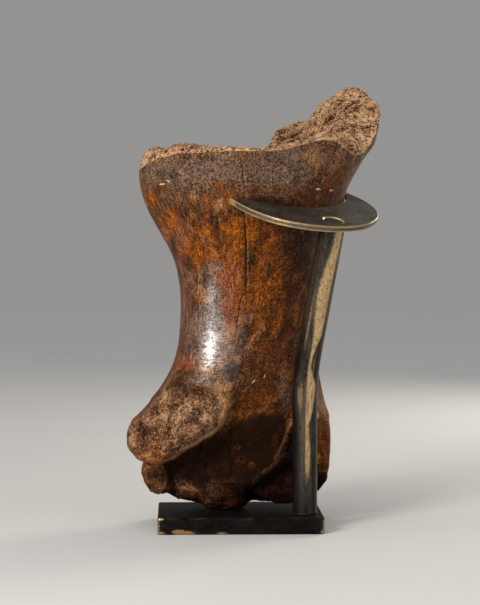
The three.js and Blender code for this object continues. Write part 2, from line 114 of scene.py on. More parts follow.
# Stains on the front, with painted shade and painted sheen among them: across, height, half breadth, half
# height, strength.
STAINS_AND_PAINTED_LIGHT = {
    "amber": [
        (-53.8, 202, 4.5, 7, 0.9), (-45, 188, 9, 12, 0.75), (-21, 179, 13, 12, 0.8), (-27, 168, 9, 8, 0.5),
        (-3.5, 178, 5, 13, 1), (-2.8, 172.6, 7, 5, 1), (9, 183, 8, 13, 0.6), (12, 155, 9, 13, 0.85),
        (10, 142, 8, 12, 0.6), (20, 132, 14, 20, 0.4), (39, 152, 8, 26, 0.35), (-32, 97, 6, 7, 0.8),
        # (53, 84) and (50, 92) are partly painted light: warm light reflected on the right edge of the lower
        # end, painted as amber stain.
        (28, 108, 18, 28, 0.25), (-6, 66, 5, 22, 0.5), (18, 72, 18, 15, 0.15), (53, 84, 10, 22, 1),
        (54, 60, 9, 18, 0.6), (64, 214, 12, 18, 0.7), (44, 200, 10, 10, 0.4), (-52, 40, 8, 11, 1),
        (50, 36, 10, 26, 1), (50, 92, 12, 20, 1),
    ],
    "rust": [
        (-5.5, 152, 8.5, 20, 1), (-7, 132, 6, 15, 0.8), (-20, 185, 18, 9, 0.4), (-34, 160, 7, 26, 0.45),
        (-39, 186, 6, 14, 0.5), (60, 208, 12, 14, 0.5), (-30, 100, 7, 6, 0.7), (-56, 53, 8, 7, 0.8),
        (-30, 46, 12, 5, 0.5), (18, 170, 14, 14, 0.4), (30, 60, 12, 10, 0.3), (32, 243, 12, 9, 0.8),
        (-38, 229, 28, 6, 0.5), (62, 242, 12, 10, 0.5), (52, 254, 12, 10, 0.6), (74, 262, 14, 8, 0.4),
    ],
    "grey": [
        (-28, 218, 24, 12, 0.85), (0, 216, 12, 12, 0.4), (23, 219, 21, 12, 1), (26, 219, 5, 9, 0.8),
        # (-17, 137) and (-15, 112) are partly a painted sheen: the grey of the sheen above and on the
        # highlight of the left column.
        (-15, 161, 4, 3, 0.9), (-17, 137, 7, 18, 0.85), (-15, 112, 6, 16, 0.5), (-27, 128, 5, 12, 0.45),
        (27, 88, 6, 16, 0.9), (12, 129, 8, 7, 0.5), (-44, 215, 10, 10, 0.5),
    ],
    "violet": [
        (-1.5, 110, 4, 4, 1), (-6, 97, 5, 10, 1), (2.4, 124, 2, 12, 0.9), (-23, 63, 7, 7, 0.7),
        (-21, 175, 4, 5, 0.8), (29, 176, 15, 14, 0.5), (34, 190, 14, 8, 0.4), (-33, 128, 3, 20, 0.4),
        (-29, 113, 3, 9, 0.6),
    ],
    "tan": [
        # (-8, 112) is partly a painted sheen: the pale sparkle beside the highlight of the left column.
        (-8, 112, 6, 14, 1), (-24, 148, 2.5, 9, 1), (-26, 201, 13, 5, 0.3), (40, 224, 9, 7, 0.5),
        (60, 222, 14, 14, 0.6), (-36, 65, 14, 7, 0.8), (10, 122, 9, 12, 0.35), (-13, 91, 10, 6, 0.7),
        (-37, 84, 12, 5, 0.6), (-9, 74, 4, 12, 0.6), (-14, 200, 6, 9, 0.5), (-52, 212, 3, 5, 0.3),
        (48, 73, 5, 5, 1), (53, 66, 4, 5, 0.8), (-9, 26, 12, 5, 0.9), (-36, 22, 13, 4, 0.8),
        (-14, 96, 9, 8, 1), (-52, 40, 7, 11, 0.8),
    ],
    # Many of these nearly black rows are painted shade: the shaded hollow of the lower front and its
    # underside, (14, 80) and the rows up to height 58; the painted shadow of the crescent on the bone at (6,
    # 200) and (24, 196); the painted shadow of the rod at (40, 172) and (38, 130); and shaded places at (-31,
    # 85) and (33, 241). The rest are stains.
    "dark": [
        (-31, 85, 13, 5, 0.8), (-5, 98, 4, 9, 0.45), (14, 80, 14, 20, 0.35), (33, 241, 12, 9, 0.6),
        (72, 260, 16, 9, 0.2), (58, 250, 9, 8, 0.35), (-58, 62, 6, 5, 0.4), (10, 58, 20, 16, 0.75),
        (26, 52, 14, 14, 0.5), (26, 24, 18, 12, 1), (-38, 229, 28, 6, 0.3), (-12, 46, 26, 15, 1),
        (-30, 38, 17, 11, 1), (6, 36, 22, 14, 0.95), (16, 22, 38, 10, 0.9), (32, 30, 18, 20, 0.9),
        (22, 48, 7, 20, 0.7), (6, 200, 12, 5, 0.6), (24, 196, 20, 6, 0.75), (40, 172, 10, 22, 0.6),
        (38, 130, 9, 34, 0.35), (-39, 150, 3, 26, 0.4), (-45, 32, 4, 9, 0.5), (50, 26, 10, 10, 0.3),
    ],
    "polish": [
        (-17, 112, 13, 19, 1), (-11, 113, 4, 12, 0.6), (-17, 134, 11, 13, 0.16), (-17, 152, 9, 14, 0.09),
        (-35, 134, 6, 20, 0.3),
    ],
}
# Each stain's strength, and how far its patches spread, in the order that they lie over each other; the last,
# nearly black, is mostly painted shade.
STAIN_AND_SHADE_LOOKS = [
    ("rust", 0.85, 3.4), ("amber", 0.9, 3.8), ("grey", 0.8, 2.4), ("tan", 0.6, 3.2), ("violet", 0.8, 2.4),
    ("dark", 0.92, 2.2),
]
FRONT_MIDDLE_Y = 12.0  # the stains fade out round the sides
# How strong the scattered stains round the sides and the back are.
ELSEWHERE = {"amber": 0.6, "rust": 0.7, "grey": 0.8, "violet": 0.6, "tan": 0.5, "dark": 0.5, "polish": 0.16}

# Pale flecks and scratches on the front: across, height, half length, half breadth, degrees from level.
FLECKS = [
    (-47.2, 209.8, 1.9, 0.4, 4), (-43.4, 211.6, 1.1, 0.35, -30), (47.1, 206.9, 1.5, 0.6, 0),
    (55.5, 206.3, 1.4, 0.5, 5), (8.0, 90.8, 1.6, 0.35, 48), (14.6, 93.8, 1.3, 0.3, 60),
    # (47.5, 68.6) is a cream patch on the right lobe, partly a painted highlight where it shines.
    (47.5, 68.6, 1.8, 2.6, 20),
]
RING_MARKS = [(1.2, 42.0, 2.1), (-1.6, 49.6, 1.5)]  # faint round marks low on the front
# Heights between which polished bone turns taupe, and between which broken bone grows coarse and pale.
TAUPE_FROM = (192.0, 213.0)
PALER_FROM = (150, 210)
BONE_SHINE = {"Coat Roughness": 0.385, "Coat IOR": 3.2, "Specular IOR Level": 0.07}
BONE_SCRATCHES = 0.5  # how broad the fine scratches are
BONE_RELIEF = 0.6 * MM  # how deep the finish is

# ---------------- the stand

PLATE_NODE = "base_plate"
PLATE_CORNER = 1.6
PLATE_BEVEL = 0.7
PLATE_SIDE_POINTS = (58, 78)  # along the plate's depth and its width
PLATE_WALL = [1.5, 2.4, 3.6, 5.0, 6.4, 7.6, 8.5]  # heights of the loops up its sides
ROD_NODE = "bent_rod"
ROD = {
    "radius": 7.5,
    "foot": (39.2, -20.0),
    "kink_height": 93.0,
    "kink_reach": 16.0,
    "lean_right": 9.0,
    "lean_forward": 17.0,
    "end_height": 188.0,
    "foot_tenon": 4.5,
    "head_tenon": 5.5,
    "head_recess": 0.5,
    "centre_mark": 1.1,
    "clearance": 0.3,
    "chamfer": 0.45,
    "uneven": 0.07,
    "sides": 72,
    "steps": (45, 24, 54),
}
# Where hands and the bone have rubbed the rod bright: height, bearing from the front towards the right,
# half breadth in degrees, strength.
ROD_RUBBED = [
    (8, 5, 12, 0.0), (22, 5, 12, 0.1), (32, 8, 13, 0.55), (40, 10, 14, 0.85), (50, 10, 13, 0.95),
    (60, 7, 9, 1.0), (65, 6, 9, 1.0), (72, 16, 17, 1.0), (82, 24, 24, 1.0), (90, 24, 24, 1.0),
    (95, 16, 15, 0.95), (101, 6, 7, 0.9), (108, 6, 7, 0.9), (114, 9, 10, 1.0), (121, 18, 20, 1.0),
    (134, 14, 27, 1.0), (146, 12, 30, 1.0), (160, 18, 26, 1.0), (172, 30, 22, 0.95), (186, 34, 24, 0.7),
]
ROD_RUBBED_ASIDE = [  # further patches: height, half height, bearing, half breadth, strength
    (82, 11, -32, 24, 0.62), (103, 12, 26, 6, 0.55), (128, 26, -34, 8, 0.6), (146, 34, -64, 18, 0.3),
    (16, 14, 22, 10, 0.35), (150, 26, 150, 22, 0.7), (60, 30, 205, 16, 0.6), (120, 18, 96, 14, 0.5),
    (168, 12, 250, 20, 0.5), (40, 18, 120, 12, 0.5),
]
# Painted shade on the rod: its foot and its unlit left and right sides are darkened.
ROD_PAINTED_SHADE = [  # the same for places that are darker than the rest
    (6, 26, 0, 200, 0.6), (58, 34, -85, 48, 1.0), (104, 10, -60, 40, 0.6), (70, 30, 80, 30, 0.5),
]
CRESCENT_NODE = "crescent_plate"
CRESCENT = {
    "thickness": 3.6,
    "hollow": (-33.0, 60.0, 45.6),
    "outside": (-18.4, 30.6, 48.0),
    "front_tip": (-62.0, 17.0),
    "front_shoulder": (-37.0, -13.3),
    "front_bend": (-52.5, -4.0),
    "hollow_from": -1.67,
    "edge_radius": 0.4,
    "corner_steps": 4,
    "steps": 120,
    "tip_worn": (13.0, 5.0),
}
# Worn places on the plate's front: across, height, half breadth, half height, strength.
PLATE_CHIPS = [
    (-34, 0.4, 7.0, 2.3, 1.0), (-38, 2.0, 3.5, 1.1, 0.8), (-11.5, 0.6, 3.6, 1.0, 1.0),
    (-48, 9.2, 2.2, 0.9, 0.8), (-50, 4.0, 1.3, 6.0, 1.0), (-47.5, 0.6, 2.0, 1.4, 0.9),
    (50, 5.0, 1.2, 5.0, 1.0), (48.6, 1.2, 1.4, 1.6, 0.8),
]

HOLE_ROOM = 0.15  # how much wider the holes are than the rod's turned ends
HEAD_HOLE_SIDES, FOOT_HOLE_SIDES = 64, 48
BRINK_FROM = -0.9  # the height at which the bevel of the crescent's hole begins
BRINK = [(0.9, -0.1), (1.05, 0.05), (1.05, 1.0)]  # how much wider the hole is at further heights
# What each brass gives the patina's group. Its colours are named as in the settings.
BRASSES = {
    "rubbed_brass": {
        "Patina": "rod_patina", "Patina shade": "rod_shade", "Brass": "brass",
        "Wear": 1.0, "Haze": 0.4, "Streak": (1.0, 1.0, 0.14),
    },
    "dull_brass": {
        "Patina": "crescent_patina", "Patina shade": "crescent_shade", "Brass": "crescent_brass",
        "Wear": 0.75, "Haze": 0.4, "Streak": (0.5, 0.8, 1.0),
    },
    "blackened_brass": {
        "Patina": "black", "Patina shade": "black_shade", "Brass": "plate_brass",
        "Wear": 0.18, "Haze": 0.1, "Streak": (0.7, 1.0, 1.0),
    },
}
BRASS_METAL = {  # how metallic it is under patina and where laid bare, and its specular level
    "rubbed_brass": (0.7, 1.0, 0.25),
    "dull_brass": (0.7, 0.6, 0.25),
    "blackened_brass": (0.0, 1.0, 0.02),
}
BRASS_SCRATCHES = 0.8  # how broad its fine scratches are
BRASS_RELIEF = 0.12 * MM  # how deep the finish is
SHARP_FROM = 35  # degrees between two faces that meet in a sharp edge

# ---------------- the studio

CAMERA = {"place": (-39.2, -1234.9, 174.9), "turn": 1.84, "dip": 1.72, "lens": 119.6, "sensor": 36.0}
# In metres: half the floor's breadth, how far it lies under the plate, and what the lights aim at.
FLOOR_HALF, FLOOR_GAP = 30.0, 0.0002
LIT_MIDDLE = (0, 0, 0.14)
# Each light: its place, its share of the key light's power, its breadth and height, and its colour.
LIGHTS = {
    "key": ((-0.7, -1.06, 0.52), 1.0, (0.4, 0.5), (1, 0.95, 0.89)),
    "fill": ((1.2, -1.0, 0.5), 0.12, (0.9, 0.9), (1, 1, 1)),
    "rim": ((0.75, 0.8, 0.5), 0.35, (0.5, 0.5), (1, 0.92, 0.82)),
}
SKY_FROM = (-0.3, -0.4, 1.0)
SURROUND_COLOUR = (0.98, 0.97, 0.95, 1)


# ---------------- numbers over points


def smoothstep(low, high, value):
    """0 below low, 1 above high and smooth between; low may be the larger of the two."""
    t = np.clip((value - low) / (high - low), 0.0, 1.0)
    return t * t * (3 - 2 * t)


def scattered(cells, seed):
    """A number from 0 to 1 for each whole-number cell, the same on every run."""
    words = cells.astype(np.int64).astype(np.uint64)
    mixed = np.full(words.shape[:-1], seed, np.uint64)
    for axis, prime in enumerate((73856093, 19349663, 83492791)):
        mixed ^= words[..., axis] * np.uint64(prime)
        mixed = (mixed ^ (mixed >> np.uint64(29))) * np.uint64(0xBF58476D1CE4E5B9)
    mixed = (mixed ^ (mixed >> np.uint64(32))) * np.uint64(0x94D049BB133111EB)
    mixed ^= mixed >> np.uint64(31)
    return (mixed >> np.uint64(40)).astype(np.float64) / float(1 << 24)


def waves(points, size, seed):
    """Smooth unevenness from -1 to 1 at points, about `size` from one bump to the next."""
    place = points / size
    cell = np.floor(place)
    within = place - cell
    ease = within * within * (3 - 2 * within)
    total = np.zeros(len(points))
    for corner in itertools.product((0, 1), repeat=3):
        share = np.prod(np.where(corner, ease, 1 - ease), axis=1)
        total += share * scattered(cell + corner, seed)
    return 2 * total - 1


def layered_waves(points, size, seed, layers=3):
    """Waves with finer and weaker waves on them."""
    total = np.zeros(len(points))
    for layer in range(layers):
        total += waves(points, size / 2**layer, seed + layer) / 2**layer
    return total


def cell_distances(points, size, seed):
    """How far each point is from the nearest and the second nearest of scattered cell middles, in cells."""
    place = points / size
    cell = np.floor(place)
    nearest = np.full(len(points), 9.0)
    second = np.full(len(points), 9.0)
    for step in itertools.product((-1, 0, 1), repeat=3):
        near = cell + step
        middle = near + np.stack([scattered(near, seed + axis) for axis in range(3)], axis=1)
        far = np.linalg.norm(place - middle, axis=1)
        second = np.minimum(second, np.maximum(nearest, far))
        nearest = np.minimum(nearest, far)
    return nearest, second


def line_distance(across, height, line):
    """How far points are from an open line."""
    nearest = np.full(len(across), 1e9)
    for (ax, az), (bx, bz) in zip(line, line[1:]):
        dx, dz = bx - ax, bz - az
        along = np.clip(((across - ax) * dx + (height - az) * dz) / (dx * dx + dz * dz), 0, 1)
        nearest = np.minimum(nearest, np.hypot(across - ax - along * dx, height - az - along * dz))
    return nearest


def depth_inside(across, height, outline):
    """How deep points lie inside a closed outline, less than 0 outside it."""
    closed = outline + outline[:1]
    nearest = line_distance(across, height, closed)
    inside = np.zeros(len(across), bool)
    for (ax, az), (bx, bz) in zip(closed, closed[1:]):
        crossing = (az > height) != (bz > height)
        rise = (bz - az) or 1e-9
        inside ^= crossing & (across < ax + (height - az) * (bx - ax) / rise)
    return np.where(inside, nearest, -nearest)


def patches(across, height, rows):
    """The strength of soft oval patches at points on a face."""
    total = np.zeros(len(across))
    for x, z, half_breadth, half_height, strength in rows:
        far = ((across - x) / half_breadth) ** 2 + ((height - z) / half_height) ** 2
        total += strength * np.exp(-(far**1.3))
    return np.clip(total, 0, 1)


# ---------------- meshes


def vertex_places(mesh):
    """The places of a mesh's vertices, in millimetres."""
    places = np.empty(len(mesh.vertices) * 3, np.float32)
    mesh.vertices.foreach_get("co", places)
    return places.reshape(-1, 3).astype(float) / MM


def place_vertices(mesh, places):
    """Moves a mesh's vertices to places in millimetres."""
    mesh.vertices.foreach_set("co", (places * MM).astype(np.float32).ravel())
    mesh.update()


def vertex_normals(mesh):
    """The directions that a mesh's vertices face."""
    normals = np.empty(len(mesh.vertices) * 3, np.float32)
    mesh.vertex_normals.foreach_get("vector", normals)
    return normals.reshape(-1, 3).astype(float)


def write_masks(mesh, masks):
    """Keeps numbers for each vertex on a mesh, for its material to read."""
    for name, values in masks.items():
        layer = mesh.attributes.new(name, "FLOAT", "POINT")
        layer.data.foreach_set("value", np.asarray(values, np.float32))


def evened(places, pairs, passes, share=0.5):
    """Draws each vertex towards the middle of its neighbours, a number of times."""
    count = len(places)
    share = np.broadcast_to(share, count)[:, None]
    neighbours = np.bincount(pairs.ravel(), minlength=count)[:, None]
    for _ in range(passes):
        total = np.empty_like(places)
        for axis in range(3):
            total[:, axis] = np.bincount(pairs[:, 0], places[pairs[:, 1], axis], count)
            total[:, axis] += np.bincount(pairs[:, 1], places[pairs[:, 0], axis], count)
        places = places + share * (total / neighbours - places)
    return places


def skin(name, rings):
    """A mesh from rings of points in millimetres, with a flat face over each end."""
    rings = np.asarray(rings, float)
    count, around, _ = rings.shape
    faces = []
    for i in range(count - 1):
        for j in range(around):
            k = (j + 1) % around
            low, high = i * around, (i + 1) * around
            faces.append((low + j, low + k, high + k, high + j))
    faces.append(tuple(reversed(range(around))))
    faces.append(tuple(range((count - 1) * around, count * around)))
    mesh = bpy.data.meshes.new(name)
    mesh.from_pydata((rings.reshape(-1, 3) * MM).tolist(), [], faces)
    mesh.validate()
    mesh.shade_smooth()
    return mesh


def add_object(name, mesh):
    """Puts a mesh into the scene as an object at the frame's origin."""
    piece = bpy.data.objects.new(name, mesh)
    bpy.context.scene.collection.objects.link(piece)
    return piece


def with_modifiers(piece):
    """A new mesh of the object as its modifiers leave it."""
    depsgraph = bpy.context.evaluated_depsgraph_get()
    return bpy.data.meshes.new_from_object(piece.evaluated_get(depsgraph))


def turned_cutter(name, profile, sides, to_world):
    """A lathe-turned cutter from rows of radius and height."""
    angles = np.linspace(0, 2 * math.pi, sides, endpoint=False)
    rings = [[to_world((r * math.cos(a), r * math.sin(a), h)) for a in angles] for r, h in profile]
    return add_object(name, skin(name, rings))


def bored(piece, cutter):
    """Cuts the cutter out of a piece, and takes the cutter away."""
    cut = piece.modifiers.new("bore", "BOOLEAN")
    cut.operation = "DIFFERENCE"
    cut.solver = "MANIFOLD"
    cut.object = cutter
    mesh = with_modifiers(piece)
    piece.modifiers.clear()
    piece.data = mesh
    bpy.data.objects.remove(cutter)


def dress(piece, material, node):
    """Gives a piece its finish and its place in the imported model."""
    piece.data.materials.clear()
    piece.data.materials.append(material)
    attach(piece, BODY)
    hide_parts(node)


def finish_brass(piece, finish, node, settings):
    """Sharpens a metal piece's corners and gives it its brass and its place."""
    piece.data.set_sharp_from_angle(angle=math.radians(SHARP_FROM))
    dress(piece, brass_material(finish, settings), node)


# ---------------- the bone's mesh


def even_bone_mesh(voxel):
    """The bone's solid, meshed evenly and without seams."""
    solid = bmesh.new()
    solid.from_mesh(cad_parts[BONE_NODE].data)
    bmesh.ops.remove_doubles(solid, verts=solid.verts, dist=0.001 * MM)
    mesh = bpy.data.meshes.new("bone_solid")
    solid.to_mesh(mesh)
    solid.free()
    rough = add_object("bone_solid", mesh)
    even = rough.modifiers.new("even", "REMESH")
    even.mode = "VOXEL"
    even.voxel_size = voxel
    even.use_smooth_shade = True
    result = with_modifiers(rough)
    bpy.data.objects.remove(rough)
    return result


def broken_share(places, normals):
    """Where the spongy inside of the bone is laid bare, 0 to 1."""
    x, y, z = places.T
    ragged = layered_waves(places, 7, 11)
    upper = smoothstep(0.14, 0.34, normals[:, 2] + 0.05 * ragged) * smoothstep(204, 212, z)
    facing_front = smoothstep(0.1, -0.25, normals[:, 1])
    left = depth_inside(x, z, LEFT_BREAK) + (1.2 + 2.2 * smoothstep(62, 82, z)) * ragged
    left = smoothstep(-1.4 - 4.0 * smoothstep(60, 82, z), 1.6 + 4.4 * smoothstep(60, 82, z), left)
    right = smoothstep(-1.4, 1.8, depth_inside(x, z, RIGHT_BREAK) + 1.0 * ragged)
    right *= smoothstep(28, 20, y)
    lumps = np.zeros(len(z))
    for middle, reach in BROKEN_LUMPS:
        far = np.linalg.norm((places - middle) / np.array(reach), axis=1)
        lumps = np.maximum(lumps, smoothstep(1.12, 1.0, far + 0.04 * ragged))
    under = smoothstep(-0.35, -0.6, normals[:, 2]) * smoothstep(30, 24, z)
    lower = np.maximum(np.maximum(left, right) * facing_front, np.maximum(lumps, under))
    return np.maximum(upper, lower)


def flow_places(places):
    """Places on a bone drawn straight and evenly thick, so that fibres follow its flare."""
    x, y, z = places.T
    levels = np.arange(FLOW["from"], FLOW["to"], FLOW["step"])
    rows = []
    for level in levels:
        near = np.abs(z - level) < FLOW["step"]
        rows.append([x[near].min(), x[near].max(), y[near].min(), y[near].max()])
    padded = np.pad(np.array(rows), ((3, 3), (0, 0)), mode="edge")
    rows = np.mean([padded[i : i + len(levels)] for i in range(7)], axis=0)
    left, right, front, back = (np.interp(z, levels, rows[:, k]) for k in range(4))
    across = (2 * x - left - right) / (right - left)
    deep = (2 * y - front - back) / (back - front)
    return np.column_stack([across * FLOW["half"], deep * FLOW["half"], z])


def crack_distance(places):
    """How far points on the front are from the crack, sideways; far where there is none."""
    line = np.array(CRACK)[::-1]
    x, y, z = places.T
    sideways = x - np.interp(z, line[:, 1], line[:, 0])
    beyond = np.maximum(z - line[-1, 1], line[0, 1] - z)
    return np.where((y < 0) & (beyond < 0), sideways, 99.0)


def carve_bone(mesh, pairs, pore_size, pore_depth):
    """Works pores, lumps and the crack into the bone, and keeps what its material needs to know."""
    places, normals = vertex_places(mesh), vertex_normals(mesh)
    x, y, z = places.T
    spongy = broken_share(places, normals)
    from_rim = line_distance(x, z, LEFT_RIM) + 0.8 * waves(places, 5, 45)
    rim = smoothstep(RIM_BREADTH + 0.6, RIM_BREADTH - 1.0, from_rim) * (y < 0) * spongy

    warped = places + 0.4 * np.stack([waves(places, 1.9, 50 + axis) for axis in range(3)], axis=1)
    nearest, second = cell_distances(warped, pore_size, 61)
    openness = np.clip(0.8 + 0.5 * waves(places, 8, 81), 0.3, 1.15) * (1 - 0.85 * rim)
    pores = smoothstep(0.6, 0.15, nearest) * openness
    struts = smoothstep(0.3, 0.0, second - nearest) * openness
    lumps = 1.1 * layered_waves(places, 11, 91, 2) + 0.5 * waves(places, 4, 95) + 0.3 * waves(places, 2.2, 97)
    lumps *= 1 - 0.5 * rim
    sunk = pore_depth * pores - 0.3 * struts + lumps - 0.3 - 0.4 * rim - SHRUNK
    polished = patches(x, z, STAINS_AND_PAINTED_LIGHT["polish"]) * (y < 0)
    swell = sum(height * waves(places, size, seed) for height, size, seed in SWELLING)
    swell *= 1 - 0.5 * polished
    ledge = smoothstep(0.05, 0.5, spongy) * smoothstep(1.0, 0.6, spongy)
    sideways = crack_distance(places)
    groove = np.exp(-((sideways / CRACK_SHAPE["half_breadth"]) ** 2)) * smoothstep(138, 150, z)
    step = smoothstep(-0.8, 0.8, sideways) * smoothstep(9.0, 2.0, np.abs(sideways))
    depth = spongy * sunk + (1 - spongy) * (swell - SHRUNK)
    depth = depth + CRACK_SHAPE["deep"] * groove + CRACK_SHAPE["step"] * step
    for middle_x, middle_y, middle_z, reach, rise in DENTS:
        far = ((x - middle_x) ** 2 + (z - middle_z) ** 2 + 0.25 * (y - middle_y) ** 2) / reach**2
        depth = depth - rise * np.exp(-2 * far)
    moved = places - normals * depth[:, None]
    moved[:, 2] = np.maximum(moved[:, 2], SEAT_HEIGHT)
    place_vertices(mesh, moved)

    outward = ((moved - evened(moved, pairs, 22)) * normals).sum(axis=1)
    masks = {"spongy": spongy, "pore": pores * spongy, "ledge": ledge, "rim": rim}
    # hollow marks the hollows of the bone, where the material paints shade on broken bone.
    masks |= {"convex": smoothstep(0.15, 0.75, outward), "hollow": smoothstep(-0.1, -0.6, outward)}
    flow = mesh.attributes.new("flow", "FLOAT_VECTOR", "POINT")
    flow.data.foreach_set("vector", flow_places(places).astype(np.float32).ravel())
    right_lobe = smoothstep(38, 45, x) * smoothstep(120, 106, z)
    seen_to = FRONT_MIDDLE_Y + 30 * right_lobe + 60 * smoothstep(228, 234, z)
    front = smoothstep(0.3, -0.15, normals[:, 1] - 0.4 * right_lobe) * smoothstep(seen_to + 18, seen_to, y)
    for k, (stain, rows) in enumerate(STAINS_AND_PAINTED_LIGHT.items()):
        elsewhere = smoothstep(0.05, 1.1, layered_waves(places * (1, 1, 0.5), 30, 100 + 7 * k))
        masks[stain] = front * patches(x, z, rows) + (1 - front) * ELSEWHERE[stain] * elsewhere
    write_masks(mesh, masks)
    return spongy


def lightened(mesh, spongy, triangles):
    """The mesh with fewer triangles, taken from solid bone and from the underside."""
    below = vertex_places(mesh)[:, 2] < 30
    facing_down = vertex_normals(mesh)[:, 2] < -0.3
    dense = add_object("bone_dense", mesh)
    free = dense.vertex_groups.new(name="unbroken")
    free.add(np.flatnonzero((spongy < 0.05) | below & facing_down).tolist(), 1.0, "REPLACE")
    fewer = dense.modifiers.new("fewer", "DECIMATE")
    fewer.vertex_group = free.name
    now = sum(len(face.vertices) - 2 for face in mesh.polygons)
    fewer.ratio = min(1.0, triangles / now)
    result = with_modifiers(dense)
    bpy.data.objects.remove(dense)
    return result


# ---------------- the stand's meshes


def head_frame():
    """The frame of the rod's leaning stretch: its top, and the directions right, back and up along it."""
    slope_right = math.tan(math.radians(ROD["lean_right"]))
    slope_forward = math.tan(math.radians(ROD["lean_forward"]))
    up = Vector((slope_right, -slope_forward, 1)).normalized()
    kink = Vector((*ROD["foot"], ROD["kink_height"]))
    head = kink + up * ((ROD["end_height"] - ROD["kink_height"]) / up.z)
    right = (Vector((1, 0, 0)) - up * up.x).normalized()
    return kink, head, right, up.cross(right), up


def head_to_world(point):
    """A point beside the rod's head, from right, back and up along the rod to the frame's axes."""
    _, head, right, back, up = head_frame()
    return head + right * point[0] + back * point[1] + up * point[2]


def foot_to_world(point):
    """A point beside the rod's foot, from right and back of its axis to the frame's axes."""
    return Vector((ROD["foot"][0] + point[0], ROD["foot"][1] + point[1], point[2]))


def rod_path():
    """Middle points of the rod from the plate to the shoulder under the crescent."""
    kink, head, _, _, up = head_frame()
    foot = Vector((*ROD["foot"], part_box(PLATE_NODE)[1].z / MM))
    bend_start = kink - Vector((0, 0, ROD["kink_reach"]))
    bend_end = kink + up * ROD["kink_reach"]
    shoulder = head - up * (CRESCENT["thickness"] + ROD["clearance"])
    below, within, above = ROD["steps"]
    points = [foot.lerp(bend_start, i / below) for i in range(below)]
    for i in range(within):
        t = i / within
        points.append(bend_start.lerp(kink, t).lerp(kink.lerp(bend_end, t), t))
    points += [bend_end.lerp(shoulder, i / above) for i in range(above + 1)]
    return points


def rod_mesh():
    """The bent bar with a turned end at each side, the marks of wear on it, and painted shade on its foot and
    unlit sides.
    """
    sides, chamfer = ROD["sides"], ROD["chamfer"]
    path = rod_path()
    angles = np.linspace(0, 2 * math.pi, sides, endpoint=False)
    rings, rubbed = [], []
    right = Vector((1, 0, 0))

    def ring(middle, along, radius, uneven=0.0):
        side = (right - along * right.dot(along)).normalized()
        back = along.cross(side)
        points = np.array([middle + radius * (side * math.cos(a) + back * math.sin(a)) for a in angles])
        if uneven:
            outward = (points - np.array(middle)) / radius
            bumps = waves(points, 14, 7) + 0.4 * waves(points, 4.5, 9)
            points = points + outward * (uneven * bumps)[:, None]
        bearings = np.degrees(angles) + 90
        bearings = (bearings + 180) % 360 - 180
        rings.append(points)
        rubbed.append(rod_rub(middle.z, bearings) if uneven else np.zeros(sides))

    up = Vector((0, 0, 1))
    top = head_frame()[4]
    shoulder, end = path[-1], head_to_world((0, 0, -ROD["head_recess"]))
    foot, radius, tenon = path[0], ROD["radius"], ROD["foot_tenon"]
    for height, breadth in ((0.0, tenon - 0.3), (0.3, tenon)):
        ring(Vector((foot.x, foot.y, height)), up, breadth)
    for rise, breadth in ((-0.02, tenon), (0, radius - chamfer), (chamfer, radius)):
        ring(foot + up * rise, up, breadth)
    for before, middle, after in zip(path, path[1:], path[2:]):
        ring(middle, (after - before).normalized(), radius, ROD["uneven"])
    tenon = ROD["head_tenon"]
    for rise, breadth in ((-chamfer, radius), (0, radius - chamfer), (0.02, tenon)):
        ring(shoulder + top * rise, top, breadth)
    for depth, breadth in ((0.25, tenon), (0, tenon - 0.25), (0, ROD["centre_mark"]), (1.5, 0.1)):
        ring(end - top * depth, top, breadth)
    mesh = skin(ROD_NODE, rings)
    write_masks(mesh, {"rub": np.concatenate(rubbed), "edge": np.zeros(len(mesh.vertices))})
    return mesh


def rod_rub(height, bearings):
    """How bright the rod is rubbed at a height, at bearings from the front towards the right; lower, and
    below 0, where shade is painted on its foot and unlit sides.
    """

    def away(bearing):
        return (bearings - bearing + 180) % 360 - 180

    def spot(middle, reach, bearing, breadth, strength):
        far = (away(bearing) / breadth) ** 2 + ((height - middle) / reach) ** 2
        return strength * np.exp(-far)

    rows = np.array(ROD_RUBBED)
    bearing, breadth, strength = (np.interp(height, rows[:, 0], rows[:, k]) for k in (1, 2, 3))
    worn = strength * smoothstep(1.75, 0.35, np.abs(away(bearing)) / breadth)
    for row in ROD_RUBBED_ASIDE:
        worn = np.maximum(worn, spot(*row))
    # Painted shade: these patches take the wear down, below 0, where the patina is then given its darker
    # shade.
    for row in ROD_PAINTED_SHADE:
        worn = worn - spot(*row) * (1 - worn)
    return worn


def resampled(points, count):
    """Points evenly spread along a line."""
    points = np.array(points, float)
    steps = np.linalg.norm(np.diff(points, axis=0), axis=1)
    along = np.concatenate([[0], np.cumsum(steps)])
    wanted = np.linspace(0, along[-1], count)
    return np.stack([np.interp(wanted, along, points[:, k]) for k in (0, 1)], axis=1)


def arc(centre, start, end, count=60):
    """Points on a circle between two angles."""
    u, v, radius = centre
    return [(u + radius * math.cos(a), v + radius * math.sin(a)) for a in np.linspace(start, end, count)]


def bearing(centre, point):
    """The angle of a point seen from a circle's middle."""
    return math.atan2(point[1] - centre[1], point[0] - centre[0])


